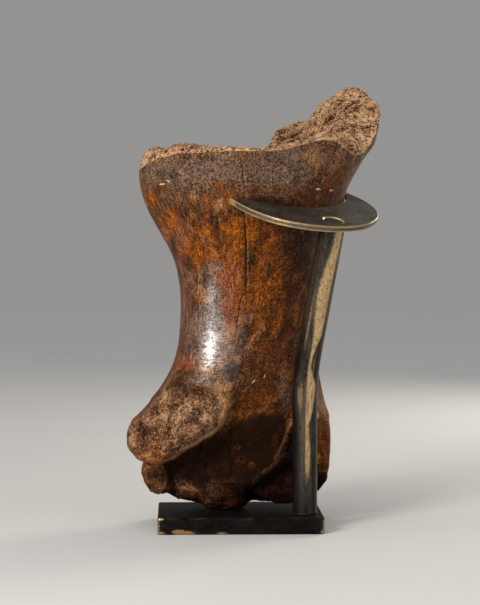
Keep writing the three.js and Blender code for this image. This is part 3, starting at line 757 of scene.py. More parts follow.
def crescent_edges(count):
    """The crescent's outer and inner edge, both from the front tip to the back tip."""
    hollow, outside = CRESCENT["hollow"], CRESCENT["outside"]
    tip, bend, shoulder = (np.array(CRESCENT[k]) for k in ("front_tip", "front_bend", "front_shoulder"))
    apart = math.hypot(outside[0] - hollow[0], outside[1] - hollow[1])
    along = (apart**2 + hollow[2] ** 2 - outside[2] ** 2) / (2 * apart)
    aside = math.sqrt(hollow[2] ** 2 - along**2)
    du, dv = (outside[0] - hollow[0]) / apart, (outside[1] - hollow[1]) / apart
    back = (hollow[0] + along * du - aside * dv, hollow[1] + along * dv + aside * du)
    outer = []
    for t in np.linspace(0, 1, 30):
        first, second = tip + (bend - tip) * t, bend + (shoulder - bend) * t
        outer.append(tuple(first + (second - first) * t))
    outer += arc(outside, bearing(outside, shoulder), bearing(outside, back))[1:]
    inner = [tuple(tip)] + arc(hollow, CRESCENT["hollow_from"], bearing(hollow, back))
    return resampled(outer, count), resampled(inner, count)


def crescent_profile(width):
    """The crescent's section round its edges: how far across, how high, and how near to an edge."""
    thickness, corner_steps = CRESCENT["thickness"], CRESCENT["corner_steps"]
    r = min(CRESCENT["edge_radius"], 0.3 * width)
    near, far = min(0.8, 0.25 * width), min(2.0, 0.4 * width)
    bottom, far_side = r - thickness, width - r
    corners = [(-90, (r, bottom)), (180, (r, -r)), (90, (far_side, -r)), (0, (far_side, bottom))]
    across = [(near, 0.1), (far, 0.0), (width / 2, 0.0), (width - far, 0.0), (width - near, 0.1)]
    sides = [
        [(0.0, -thickness / 2, 0.25)],
        [(s, 0.0, edge) for s, edge in across],
        [(width, -thickness / 2, 0.25)],
        [(s, -thickness, edge) for s, edge in reversed(across)],
    ]
    profile = []
    for (start, (s, h)), side in zip(corners, sides):
        for step in range(corner_steps + 1):
            angle = math.radians(start - 90 * step / corner_steps)
            profile.append((s + r * math.cos(angle), h + r * math.sin(angle), 1.0))
        profile += side
    return profile


def crescent_mesh():
    """The crescent, rounded along its edges, with loops beside them for the wear."""
    count = CRESCENT["steps"]
    outer, inner = crescent_edges(count)
    rings, edges, rubbed = [], [], []
    for i in range(1, count - 1):
        across = inner[i] - outer[i]
        width = np.linalg.norm(across)
        profile = crescent_profile(width)
        rings.append([head_to_world((*(outer[i] + across / width * s), h)) for s, h, _ in profile])
        edges += [edge for _, _, edge in profile]
        from_tip = np.linalg.norm(outer[i] - outer[0])
        tip_wear = float(smoothstep(*CRESCENT["tip_worn"], from_tip))
        rubbed += [tip_wear * (1.0 if h < -0.1 else 0.5) for _, h, _ in profile]
    mesh = skin(CRESCENT_NODE, rings)
    write_masks(mesh, {"edge": edges, "rub": rubbed})
    return mesh


def rub_brink(mesh, radius, depth):
    """Rubs the brink of the crescent's hole bright: bare brass that is partly a painted highlight along the
    bevel.
    """
    _, head, _, _, up = (np.array(part) for part in head_frame())
    offsets = vertex_places(mesh) - head
    along = offsets @ up
    away = np.linalg.norm(offsets - np.outer(along, up), axis=1)
    rubbed = mesh.attributes["rub"].data
    on_bevel = (away < radius + 1) & (along > depth - 0.1) & (along < -0.05)
    for index in np.flatnonzero(on_bevel):
        rubbed[int(index)].value = 1.0


def plate_mesh():
    """The base plate with rounded corners and edges, and loops beside them for the wear."""
    low, high = (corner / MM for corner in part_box(PLATE_NODE))
    half_width, half_depth, thickness = (high.x - low.x) / 2, (high.y - low.y) / 2, high.z - low.z
    levels = [(3.0, 0, 0), (1.2, 0, 0.2)]
    for degrees in (0, 22.5, 45, 67.5, 90):
        angle = math.radians(degrees)
        levels.append((PLATE_BEVEL * (1 - math.sin(angle)), PLATE_BEVEL * (1 - math.cos(angle)), 1))
    walls = [(0, height, 0.0 if 2 < height < 8 else 0.15) for height in PLATE_WALL]
    levels = levels + walls + [(inset, thickness - height, edge) for inset, height, edge in reversed(levels)]
    rings, edges = [], []
    for inset, height, edge in levels:
        outline = rounded_rectangle(half_width - inset, half_depth - inset, max(PLATE_CORNER - inset, 0.3))
        near_corner = np.exp(-(((outline[:, 2]) / 1.6) ** 2))
        rings.append(np.column_stack([outline[:, :2], np.full(len(outline), height)]))
        edges.append(np.maximum(edge, near_corner * (inset < 1.0)))
    mesh = skin(PLATE_NODE, rings)
    places, edges = vertex_places(mesh), np.concatenate(edges)
    nicks = smoothstep(0.35, 0.85, waves(places, 3.2, 19)) * smoothstep(0.6, 1.0, edges)
    middle = np.array([0, 0, thickness / 2])
    inward = middle - places
    inward /= np.linalg.norm(inward, axis=1)[:, None]
    flat = (places[:, 2] < 0.01)[:, None]
    place_vertices(mesh, np.where(flat, places, places + inward * (0.22 * nicks)[:, None]))
    front = smoothstep(-half_depth + 1.5, -half_depth + 0.2, places[:, 1])
    chipped = front * patches(places[:, 0], places[:, 2], PLATE_CHIPS)
    write_masks(mesh, {"edge": edges, "rub": chipped})
    return mesh


def rounded_rectangle(half_width, half_depth, radius):
    """Points round a rectangle with rounded corners, anticlockwise, and how far each is from a corner."""
    steps, points = 6, []
    corners = [(1, -1, -90), (1, 1, 0), (-1, 1, 90), (-1, -1, 180)]
    for k, (sx, sy, start) in enumerate(corners):
        cx, cy = sx * (half_width - radius), sy * (half_depth - radius)
        for step in range(steps + 1):
            angle = math.radians(start + 90 * step / steps)
            points.append((cx + radius * math.cos(angle), cy + radius * math.sin(angle), 0.0))
        reach = 2 * (half_depth - radius if k % 2 == 0 else half_width - radius)
        count = PLATE_SIDE_POINTS[k % 2]
        along = math.radians(start + 180)
        for i in range(1, count):
            far = reach * i / count
            x = cx + radius * math.cos(math.radians(start + 90)) + far * math.cos(along)
            y = cy + radius * math.sin(math.radians(start + 90)) + far * math.sin(along)
            points.append((x, y, min(far, reach - far)))
    return np.array(points)


# ---------------- shader nodes


class Wiring:
    """A node tree being wired. Each method adds a node and gives back what it puts out.

    Whatever goes in is a number, another node's socket, or the name of a colour in the settings.
    """

    def __init__(self, tree, settings=None):
        self.tree, self.settings = tree, settings

    def put(self, values, node):
        """Fills a node's sockets, by their labels or numbers."""
        for at, value in values.items():
            if isinstance(value, bpy.types.NodeSocket):
                self.tree.links.new(value, node.inputs[at])
            elif isinstance(value, str):
                node.inputs[at].default_value = (*getattr(self.settings, value), 1)
            else:
                node.inputs[at].default_value = value

    def node(self, kind, inputs=None, **settings):
        made = self.tree.nodes.new(kind)
        for name, value in settings.items():
            setattr(made, name, value)
        self.put(inputs or {}, made)
        return made

    def math(self, operation, *values):
        return self.node("ShaderNodeMath", dict(enumerate(values)), operation=operation).outputs[0]

    add = functools.partialmethod(math, "ADD")
    minus = functools.partialmethod(math, "SUBTRACT")
    times = functools.partialmethod(math, "MULTIPLY")
    most = functools.partialmethod(math, "MAXIMUM")
    summed = functools.partialmethod(math, "MULTIPLY_ADD")

    def swayed(self, value, noise, reach):
        """A value with a noise's ups and downs on it."""
        return self.summed(self.minus(noise, 0.5), reach, value)

    def squares(self, first, second):
        return self.add(self.math("POWER", first, 2.0), self.math("POWER", second, 2.0))

    def vector(self, operation, *values):
        return self.node("ShaderNodeVectorMath", dict(enumerate(values)), operation=operation).outputs[0]

    def axes(self, vector):
        return self.node("ShaderNodeSeparateXYZ", {0: vector}).outputs

    def tint(self, share, first, second, blend="MIX"):
        inputs = {0: share, 6: first, 7: second}
        return self.node("ShaderNodeMix", inputs, data_type="RGBA", blend_type=blend).outputs[2]

    def coated(self, base, *coats):
        """A colour with further colours over it, each with its share."""
        for share, coat in coats:
            base = self.tint(share, base, coat)
        return base

    def between(self, share, first, second):
        return self.node("ShaderNodeMix", {0: share, 2: first, 3: second}, data_type="FLOAT").outputs[0]

    def step(self, value, low, high, to_low=0.0, to_high=1.0):
        inputs = {0: value, 1: low, 2: high, 3: to_low, 4: to_high}
        return self.node("ShaderNodeMapRange", inputs, interpolation_type="SMOOTHSTEP").outputs[0]

    def noise(self, vector, size, detail=3.0, roughness=0.55, distortion=0.0, output="Fac"):
        inputs = {"Vector": vector, "Scale": 1 / size, "Detail": detail}
        inputs |= {"Roughness": roughness, "Distortion": distortion}
        return self.node("ShaderNodeTexNoise", inputs).outputs[output]

    def three_noises(self, vector, size):
        three = self.noise(vector, size, 3, 0.5, output="Color")
        return self.node("ShaderNodeSeparateColor", {0: three}).outputs

    def mask(self, name):
        return self.node("ShaderNodeAttribute", attribute_name=name).outputs["Fac"]

    def millimetres(self):
        coordinates = self.node("ShaderNodeTexCoord").outputs["Object"]
        return self.vector("MULTIPLY", coordinates, (1000, 1000, 1000))

    def bump(self, height, strength, distance):
        inputs = {"Height": height, "Strength": strength, "Distance": distance}
        return self.node("ShaderNodeBump", inputs).outputs["Normal"]

    def grouped(self, make, inputs):
        """What a shader group puts out. The group is made the first time that it is asked for."""
        tree = bpy.data.node_groups.get(make.__name__) or make(make.__name__)
        return self.node("ShaderNodeGroup", inputs, node_tree=tree).outputs


def new_group(name, inputs, outputs):
    """An empty shader group with named sockets: its wiring, what goes in, and the node for what comes out."""
    tree = bpy.data.node_groups.new(name, "ShaderNodeTree")
    for direction, sockets in (("INPUT", inputs), ("OUTPUT", outputs)):
        for label, kind in sockets.items():
            tree.interface.new_socket(name=label, in_out=direction, socket_type=f"NodeSocket{kind}")
    wiring = Wiring(tree)
    return wiring, wiring.node("NodeGroupInput").outputs, wiring.node("NodeGroupOutput")


def fine_scratches(name):
    """Fine scratches that run mostly one way."""
    inputs = {"Vector": "Vector", "Stretch": "Vector", "Size": "Float"}
    w, given, out = new_group(name, inputs, {"Height": "Float", "Lines": "Float"})
    along = w.vector("MULTIPLY", given["Vector"], given["Stretch"])
    scale = w.math("DIVIDE", 1.0, given["Size"])
    sized = w.node("ShaderNodeVectorMath", {0: along, 3: scale}, operation="SCALE").outputs[0]
    lines = w.step(w.math("ABSOLUTE", w.minus(w.noise(sized, 1.7, 2, 0.5), 0.5)), 0.03, 0.0)
    w.put({"Height": w.noise(sized, 1.0, 4, 0.65, 0.2), "Lines": lines}, out)
    return w.tree


def worn_patina(name):
    """Dark patina on brass, worn through along edges and where it has been rubbed, and darker where painted
    shade lies on it.
    """
    inputs = {"Vector": "Vector", "Edge": "Float", "Rub": "Float", "Wear": "Float", "Haze": "Float"}
    inputs |= {"Streak": "Vector", "Patina": "Color", "Patina shade": "Color"}
    inputs |= {"Brass": "Color", "Brass shade": "Color"}
    outputs = {"Color": "Color", "Bare": "Float", "Roughness": "Float", "Height": "Float"}
    w, given, out = new_group(name, inputs, outputs)
    streaked = w.vector("MULTIPLY", given["Vector"], given["Streak"])
    broad = w.noise(streaked, 8, 3, 0.6)
    fine = w.noise(streaked, 1.1, 4, 0.75)
    rough = w.noise(given["Vector"], 1.3, 4, 0.75)
    grain = w.noise(given["Vector"], 0.35, 2, 0.6)
    ragged = w.summed(rough, 0.4, w.summed(fine, 0.35, w.times(broad, 0.25)))
    amount = w.times(w.minus(ragged, 0.5), 2.6)
    worn = w.add(w.most(w.times(given["Edge"], given["Wear"]), given["Rub"]), amount)
    bare = w.step(worn, 0.5, 0.68)
    haze = w.times(w.step(worn, 0.1, 0.65), given["Haze"])
    blotch = w.add(w.times(broad, 0.5), w.times(fine, 0.5))
    # Painted shade: where the mask of rubbing and painted light is below 0, the patina takes its darker
    # shade.
    deep = w.most(w.step(blotch, 0.4, 0.58), w.step(given["Rub"], -0.05, -0.55))
    patina = w.tint(deep, given["Patina"], given["Patina shade"])
    patina = w.tint(haze, patina, given["Brass shade"])
    tarnish = w.most(w.step(fine, 0.4, 0.62), w.times(w.step(worn, 1.0, 0.6), 0.8))
    brass = w.tint(tarnish, given["Brass"], given["Brass shade"])
    brass = w.tint(w.times(w.step(rough, 0.55, 0.64), 0.65), brass, given["Patina shade"])
    dull, bright = w.summed(fine, 0.3, 0.28), w.summed(fine, 0.3, 0.2)
    height = w.summed(grain, 0.4, w.times(fine, 0.5))
    results = {
        "Color": w.tint(bare, patina, brass),
        "Bare": bare,
        "Roughness": w.between(bare, dull, bright),
        "Height": w.minus(height, w.times(bare, 0.25)),
    }
    w.put(results, out)
    return w.tree


def new_material(name, settings):
    """A material with a Principled shader, and the wiring of its tree."""
    material = bpy.data.materials.new(name)
    material.use_nodes = True
    wiring = Wiring(material.node_tree, settings)
    return material, wiring, material.node_tree.nodes["Principled BSDF"]


def brass_material(name, settings):
    """Brass under dark patina, worn bright along its edges."""
    material, w, shader = new_material(name, settings)
    finish, (covered, laid_bare, specular) = BRASSES[name], BRASS_METAL[name]
    place = w.millimetres()
    inputs = {"Vector": place, "Edge": w.mask("edge"), "Rub": w.mask("rub"), "Brass shade": "brass_shade"}
    worn = w.grouped(worn_patina, inputs | finish)
    inputs = {"Vector": place, "Stretch": finish["Streak"], "Size": BRASS_SCRATCHES}
    scratched = w.grouped(fine_scratches, inputs)
    height = w.summed(scratched["Height"], 0.6, worn["Height"])
    surface = {
        "Base Color": worn["Color"],
        "Metallic": w.between(worn["Bare"], covered, laid_bare),
        "Specular IOR Level": specular,
        "Roughness": w.add(worn["Roughness"], w.times(scratched["Lines"], -0.08)),
        "Normal": w.bump(height, 0.5, BRASS_RELIEF),
    }
    w.put(surface, shader)
    return material


def crack_line(w, place):
    """The dark line of the crack and its lighter lip, drawn sharp at any size."""
    x, y, z = w.axes(place)
    low, high = CRACK[-1][1], CRACK[0][1]
    left, right = CRACK_ACROSS
    along = w.node("ShaderNodeMapRange", {0: z, 1: low, 2: high}).outputs[0]
    curve = w.node("ShaderNodeFloatCurve", {"Factor": 1.0, "Value": along})
    points = curve.mapping.curves[0].points
    rows = [((h - low) / (high - low), (a - left) / (right - left)) for a, h in reversed(CRACK)]
    points[0].location, points[1].location = rows[0], rows[-1]
    for row in rows[1:-1]:
        points.new(*row)
    curve.mapping.update()
    line = w.node("ShaderNodeMapRange", {0: curve.outputs[0], 3: left, 4: right}).outputs[0]
    wander = w.times(w.minus(w.noise(place, 3.5, 4, 0.7), 0.5), 1.6)
    sideways = w.minus(w.add(x, wander), line)
    within = w.times(w.step(z, low - 2, low + 6), w.step(z, high + 1, high - 1))
    shown = w.times(w.step(y, 2.0, -6.0), within)
    open_width = w.step(w.noise(place, 5, 3), 0.38, 0.62, 0.24, 0.56)
    open_width = w.times(open_width, w.step(z, 200, 212, 1.0, 0.4))
    open_width = w.times(open_width, w.step(z, 136, 150, 0.8, 1.0))
    away = w.math("DIVIDE", w.math("ABSOLUTE", sideways), open_width)
    beside = w.math("ABSOLUTE", w.minus(sideways, 1.1))
    return w.times(w.step(away, 1.3, 0.5), shown), w.times(w.step(beside, 0.8, 0.1), shown)


def fleck_masks(w, place):
    """Pale flecks and scratches, and ring marks, at their own places on the front."""
    x, y, z = w.axes(place)
    wander = w.times(w.minus(w.noise(place, 1.4, 3, 0.7), 0.5), 1.4)
    x, z = w.add(x, wander), w.minus(z, wander)
    flecks, rings = 0.0, 0.0
    for across, height, half_length, half_breadth, degrees in FLECKS:
        c, s = math.cos(math.radians(degrees)), math.sin(math.radians(degrees))
        dx, dz = w.minus(x, across), w.minus(z, height)
        along = w.add(w.times(dx, c / half_length), w.times(dz, s / half_length))
        aside = w.minus(w.times(dz, c / half_breadth), w.times(dx, s / half_breadth))
        flecks = w.most(flecks, w.step(w.squares(along, aside), 1.5, 0.5))
    for across, height, radius in RING_MARKS:
        far = w.math("SQRT", w.squares(w.minus(x, across), w.minus(z, height)))
        rings = w.most(rings, w.step(w.math("ABSOLUTE", w.minus(far, radius)), 0.5, 0.15))
    on_front = w.step(y, 28.0, 22.0)
    return w.times(flecks, on_front), w.times(rings, on_front)


def bone_material(settings):
    """Polished brown bone with stains, fibres, painted shade, painted sheen and painted glints, and dull tan
    spongy bone where it is broken.
    """
    material, w, shader = new_material("fossil_bone", settings)
    place = w.millimetres()
    height = w.axes(place)[2]
    flow = w.node("ShaderNodeAttribute", attribute_name="flow").outputs["Vector"]
    stretched = w.vector("MULTIPLY", flow, (1, 1, 0.6))
    rim, convex, dark, amber = (w.mask(name) for name in ("rim", "convex", "dark", "amber"))
    broad = w.noise(stretched, 17, 4, 0.6, 0.4)
    mottle = w.noise(stretched, 4.2, 5, 0.72, 0.5)
    dapple = w.noise(stretched, 3.0, 4, 0.75, 0.4)
    fibre = w.noise(w.vector("MULTIPLY", flow, (1, 1, 0.2)), 1.15, 5, 0.75, 0.3)
    grain = w.noise(place, 1.5, 5, 0.78)
    dust = w.noise(place, 0.8, 3, 0.85)
    fine = w.noise(place, 0.75, 3, 0.75)
    clouds = (*w.three_noises(stretched, 8.0), *w.three_noises(stretched, 5.0))

    # Polished bone: brown, and taupe at the upper end, under its stains, painted shade and painted sheen.
    upper = w.step(w.swayed(w.swayed(height, mottle, 60.0), broad, 80.0), *TAUPE_FROM)
    brown = w.tint(w.step(broad, 0.38, 0.62), "brown", "umber")
    smooth = w.tint(upper, brown, w.tint(w.step(broad, 0.4, 0.6), "taupe", "taupe_shade"))
    streaky = w.minus(w.step(w.axes(flow)[0], 20, -15), upper)
    cool = w.most(upper, w.step(streaky, 0.2, 1.0))
    warm = w.step(w.minus(cool, amber), 1.0, 0.0)
    dappled = w.tint(w.step(dapple, 0.4, 0.52), "amber_shade", "amber")
    dappled = w.tint(w.step(dapple, 0.54, 0.64), dappled, "amber_bright")
    # The stains go on in turn. The nearly black one is mostly painted shade and cast shadows, and some grey,
    # tan and amber patches are partly painted sheen and painted warm light.
    for (name, strength, spread), cloud in zip(STAIN_AND_SHADE_LOOKS, clouds):
        amount = w.swayed(w.swayed(w.mask(name), cloud, spread), mottle, 0.3)
        if name in ("amber", "rust"):
            amount = w.summed(upper, -0.35, amount)
        elif name != "dark":
            amount = w.summed(warm, -0.15, amount)
        stained = w.times(w.step(amount, 0.1, 0.95), strength)
        smooth = w.tint(stained, smooth, dappled if name == "amber" else name)
    gloom = w.times(w.step(clouds[0], 0.47, 0.35), w.between(amber, 0.6, 0.3))
    smooth = w.tint(gloom, smooth, "deep_brown")
    streaks = w.between(w.step(streaky, 0.0, 1.0, 0.1, 1.0), grain, fibre)
    tone = w.summed(dust, 0.55, w.add(w.times(grain, 0.2), w.times(streaks, 0.25)))
    smooth = w.tint(1.0, smooth, w.step(tone, 0.44, 0.56, 0.22, 1.48), "MULTIPLY")
    lightest = w.minus(1.0, w.most(dark, w.times(amber, 0.7)))
    light = w.times(w.step(streaks, 0.53, 0.61), w.step(clouds[4], 0.42, 0.58, 0.08, 0.62))
    # Painted glints: pale flecks over polished bone, partly crumbs and partly standing in for tiny
    # highlights.
    flecks_and_glints = w.times(w.step(dust, 0.58, 0.68), w.step(mottle, 0.4, 0.55, 0.14, 0.62))
    smooth = w.coated(
        smooth,
        (w.times(light, lightest), w.tint(warm, "tan", "warm_tan")),
        (w.times(flecks_and_glints, lightest), w.tint(warm, "spark", "warm_tan")),
        (w.times(convex, w.step(grain, 0.4, 0.6, 0.1, 0.6)), "tan"),
    )

    # Broken bone: crumbs, pits and pale grains, coarser and paler at the upper end, with painted shade in its
    # hollows and near the plate, and pale edges that are partly a painted highlight.
    shade = w.between(w.step(height, *PALER_FROM, 0.27, 0.4), fine, w.noise(place, 1.9, 4, 0.75))
    shade = w.swayed(0.5, shade, w.step(height, *PALER_FROM, 1.0, 2.0))
    patchy = w.times(w.minus(w.noise(place, 8, 4, 0.65), 0.5), w.step(height, 120, 200, 0.54, 0.75))
    shade = w.add(w.add(patchy, shade), w.step(height, 160, 220, 0.0, 0.064))
    # Fewer pale grains under the nearly black mask, which is mostly painted shade.
    shade = w.summed(w.mask("tan"), 0.03, w.summed(dark, -0.07, shade))
    grains = w.most(w.step(shade, 0.532, 0.6), w.step(dust, 0.57, 0.68, 0.0, 0.6))
    pits = w.times(w.step(w.mask("pore"), 0.3, 0.9), w.step(height, *PALER_FROM, 0.5, 0.9))
    pits = w.most(w.step(shade, 0.458, 0.398), pits)
    # Pale crumbs along broken edges and bulges, partly a painted highlight where they catch the light;
    # fainter low down.
    edge = w.most(w.times(w.mask("ledge"), w.step(height, 130, 180, 0.2, 1.0)), convex)
    edge = w.times(w.times(edge, w.step(fine, 0.4, 0.54, 0.2, 0.95)), w.step(height, 30, 60, 0.15, 1.0))
    broken = w.coated(
        w.tint(w.step(shade, 0.4, 0.5), "spongy_deep", "spongy"),
        (w.times(w.step(clouds[1], 0.48, 0.6), 0.7), "spongy_rose"),
        (w.times(w.step(clouds[4], 0.52, 0.62), 0.5), "grey"),
        (w.times(w.step(clouds[3], 0.54, 0.64), 0.45), "rust"),
        (w.times(w.mask("rust"), 0.4), "rust"),
        (grains, "spongy_pale"),
        (w.times(pits, w.between(rim, 0.9, 0.3)), "pore"),
        # Painted shade in the hollows of the broken bone.
        (w.times(w.mask("hollow"), 0.4), "pore"),
        (w.times(rim, 0.8), w.tint(w.step(grain, 0.4, 0.62), "rim", "rust")),
        (w.times(w.step(w.swayed(w.mask("violet"), mottle, 2.0), 0.2, 0.8), 0.5), "violet"),
        (edge, "spongy_pale"),
    )
    lower = w.coated(
        w.tint(w.step(height, 150, 90), (1, 1, 1, 1), "low"),
        (w.times(amber, 0.8), "orange"),
        # Painted shade, deepening towards the plate.
        (w.step(height, 50, 28), "earth"),
        # Painted contact shadow where the bone meets the plate.
        (w.step(height, 23, 14), "spongy_deep"),
    )
    broken = w.tint(1.0, broken, lower, "MULTIPLY")
    # Painted shade: broken bone is darkened further under the nearly black mask, in the shaded hollow of the
    # lower front.
    broken = w.tint(w.times(dark, 0.78), broken, w.tint(1.0, broken, "spongy_deep", "MULTIPLY"))

    # Both together, under the crack, the flecks and the ring marks.
    is_broken = w.step(w.swayed(w.mask("spongy"), grain, 1.3), 0.3, 0.62)
    dark_line, lip = crack_line(w, place)
    flecks, rings = fleck_masks(w, place)
    base = w.coated(
        w.tint(is_broken, smooth, broken),
        (w.times(lip, w.step(grain, 0.42, 0.6, 0.0, 0.5)), "tan"),
        (w.times(dark_line, 0.95), "pore"),
        (w.times(flecks, 0.7), "spongy_pale"),
        (w.times(rings, w.step(grain, 0.4, 0.6, 0.0, 0.3)), "spongy"),
    )
    gloss = w.add(w.step(mottle, 0.35, 0.7, 0.3, 0.5), w.times(upper, 0.1))
    gloss = w.add(gloss, w.times(w.minus(fibre, 0.5), 0.3))
    polish = w.times(w.minus(1.0, is_broken), w.mask("polish"))
    ripples = w.noise(w.vector("MULTIPLY", flow, (0.22, 0.22, 1.0)), 0.9, 3, 0.7, 0.4)
    glints = w.add(w.times(ripples, 0.5), w.times(dust, 0.5))
    glints = w.times(w.step(glints, 0.43, 0.55, 0.15, 1.0), w.step(mottle, 0.36, 0.54, 0.5, 1.0))
    inputs = {"Vector": flow, "Stretch": (1.0, 1.0, 0.2), "Size": BONE_SCRATCHES}
    scratched = w.grouped(fine_scratches, inputs)
    on_smooth = w.summed(mottle, 0.5, w.summed(streaks, 1.0, w.times(grain, 1.3)))
    on_smooth = w.summed(dark_line, -1.6, w.summed(scratched["Lines"], -0.15, on_smooth))
    on_broken = w.times(w.summed(shade, 3.0, w.times(pits, -0.8)), w.between(rim, 1.0, 0.35))
    surface = {
        "Base Color": base,
        "Roughness": w.between(is_broken, gloss, 0.85),
        "Coat Weight": w.times(polish, glints),
        "Normal": w.bump(w.between(is_broken, on_smooth, on_broken), 1.0, BONE_RELIEF),
    }
    w.put(surface | BONE_SHINE, shader)
    return material


def floor_material(settings):
    """Plain pale board, very slightly uneven."""
    material, w, shader = new_material("studio_floor", settings)
    darker = (*(0.94 * c for c in settings.floor_colour), 1)
    board = w.tint(w.noise(w.millimetres(), 160, 3, 0.5), "floor_colour", darker)
    w.put({"Base Color": board, "Roughness": 0.7}, shader)
    return material


# ---------------- settings


def colour(name, description, default):
    """A colour that a user may change."""
    return bpy.props.FloatVectorProperty(
        name=name, description=description, default=default, size=3, min=0, max=1, subtype="COLOR"
    )


def number(name, description, default, **more):
    """A number that a user may change."""
    return bpy.props.FloatProperty(name=name, description=description, default=default, min=0, **more)


def length(name, description, default):
    """A length that a user may change, from millimetres."""
    return number(name, description, default * MM, unit="LENGTH", precision=5)


class FOSSIL_PG_bone(bpy.types.PropertyGroup):
    """Sizes and colours of the bone."""

    mesh_size: length("Mesh size", "Spacing of the bone's mesh", 0.74)
    pore_size: length("Pore size", "Spacing of the pores in broken bone", 1.9)
    pore_depth: length("Pore depth", "Depth of the pores in broken bone", 0.8)
    rounding: bpy.props.IntProperty(
        name="Rounding", description="How often the facets of the solid are evened out", default=18, min=0
    )
    triangles: bpy.props.IntProperty(
        name="Triangles", description="How many triangles the bone keeps", default=190000, min=1000
    )
    brown: colour("Brown", "Polished bone", (0.088, 0.026, 0.005))
    umber: colour("Umber", "Darker polished bone", (0.046, 0.0145, 0.0035))
    taupe: colour("Taupe", "Unpolished bone at the upper end", (0.155, 0.076, 0.038))
    taupe_shade: colour("Taupe shade", "Its darker patches", (0.1, 0.046, 0.023))
    deep_brown: colour("Deep brown", "Pits and dots in polished bone", (0.02, 0.008, 0.003))
    rust: colour("Rust", "Red-brown stain", (0.23, 0.054, 0.012))
    amber: colour("Amber", "Amber stain", (0.25, 0.067, 0.002))
    amber_bright: colour("Bright amber", "Its lightest spots", (0.46, 0.13, 0.008))
    amber_shade: colour("Amber shade", "Its darker spots", (0.115, 0.029, 0.005))
    grey: colour("Grey", "Grey-brown stain", (0.15, 0.1, 0.075))
    violet: colour("Violet", "Purple-grey stain", (0.065, 0.036, 0.031))
    # Pale flecks, partly painted glints.
    spark: colour("Spark", "Pale flecks in polished bone", (0.42, 0.25, 0.12))
    tan: colour("Tan", "Tan fibres", (0.38, 0.19, 0.085))
    warm_tan: colour("Warm tan", "Fibres and flecks in the brown bone", (0.38, 0.14, 0.025))
    # Nearly black: painted shade and cast shadows on the front, and stains.
    dark: colour("Dark", "Nearly black stain", (0.014, 0.0055, 0.002))
    spongy: colour("Spongy", "Broken bone", (0.32, 0.144, 0.065))
    spongy_pale: colour("Pale spongy", "Cream grains of broken bone", (0.88, 0.54, 0.3))
    spongy_rose: colour("Rose spongy", "Pinkish broken bone", (0.24, 0.1, 0.055))
    spongy_deep: colour("Deep spongy", "Shaded broken bone", (0.13, 0.055, 0.023))
    rim: colour("Rim", "Solid bone along the edge of a break", (0.4, 0.165, 0.045))
    low: colour("Low", "What darkens the broken bone of the lower end", (0.56, 0.54, 0.52))
    orange: colour("Orange", "What tints it amber", (0.75, 0.5, 0.2))
    # Painted shade near the plate.
    earth: colour("Earth", "What darkens it near the plate", (0.26, 0.2, 0.15))
    pore: colour("Pore", "The inside of pores and of the crack", (0.018, 0.008, 0.004))


class FOSSIL_PG_stand(bpy.types.PropertyGroup):
    """Colours of the brass stand."""

    brass: colour("Brass", "Brass rubbed bright", (0.8, 0.57, 0.28))
    brass_shade: colour("Dull brass", "Brass beginning to tarnish", (0.35, 0.235, 0.13))
    crescent_brass: colour("Crescent brass", "Brass laid bare on the crescent", (0.56, 0.45, 0.21))
    plate_brass: colour("Plate brass", "Brass laid bare on the base plate", (0.42, 0.2, 0.045))
    black: colour("Black patina", "Patina of the base plate", (0.0032, 0.0024, 0.0022))
    black_shade: colour("Black patina shade", "Its lighter patches", (0.008, 0.0066, 0.006))
    rod_patina: colour("Rod patina", "Patina of the rod", (0.06, 0.047, 0.032))
    rod_shade: colour("Rod patina shade", "Its darker patches", (0.014, 0.0118, 0.0105))
    crescent_patina: colour("Crescent patina", "Patina of the crescent", (0.12, 0.103, 0.083))
    crescent_shade: colour("Crescent patina shade", "Its darker patches", (0.036, 0.03, 0.024))


class FOSSIL_PG_studio(bpy.types.PropertyGroup):
    """The floor and the light."""

    floor_colour: colour("Floor", "Colour of the floor", (0.593, 0.589, 0.58))
    key_power: number("Key light", "Power of the main light", 20.0, unit="POWER")
    sky: number("Sky", "Strength of the soft light from above", 0.75)
    surround: number("Surround", "Brightness of the light from all round", 0.3)


# ---------------- operators


class FOSSIL_OT_bone(bpy.types.Operator):
    """Build the bone over its solid"""

    bl_idname = "fossil.bone"
    bl_label = "Build bone"

    def execute(self, context):
        settings = context.scene.fossil_bone
        mesh = even_bone_mesh(settings.mesh_size)
        pairs = np.empty(len(mesh.edges) * 2, np.int32)
        mesh.edges.foreach_get("vertices", pairs)
        pairs = pairs.reshape(-1, 2)
        place_vertices(mesh, evened(vertex_places(mesh), pairs, FIRST_ROUNDING))
        kept = broken_share(vertex_places(mesh), vertex_normals(mesh))
        share = 0.5 * (1 - BROKEN_KEEPS * kept)
        place_vertices(mesh, evened(vertex_places(mesh), pairs, settings.rounding, share))
        spongy = carve_bone(mesh, pairs, settings.pore_size / MM, settings.pore_depth / MM)
        mesh = lightened(mesh, spongy, settings.triangles)
        mesh.name = "fossil_bone"
        mesh.shade_smooth()
        dress(add_object("fossil_bone", mesh), bone_material(settings), BONE_NODE)
        return {"FINISHED"}


class FOSSIL_OT_rod(bpy.types.Operator):
    """Build the bent rod that carries the crescent"""

    bl_idname = "fossil.rod"
    bl_label = "Build rod"

    def execute(self, context):
        piece = add_object("rod", rod_mesh())
        finish_brass(piece, "rubbed_brass", ROD_NODE, context.scene.fossil_stand)
        return {"FINISHED"}


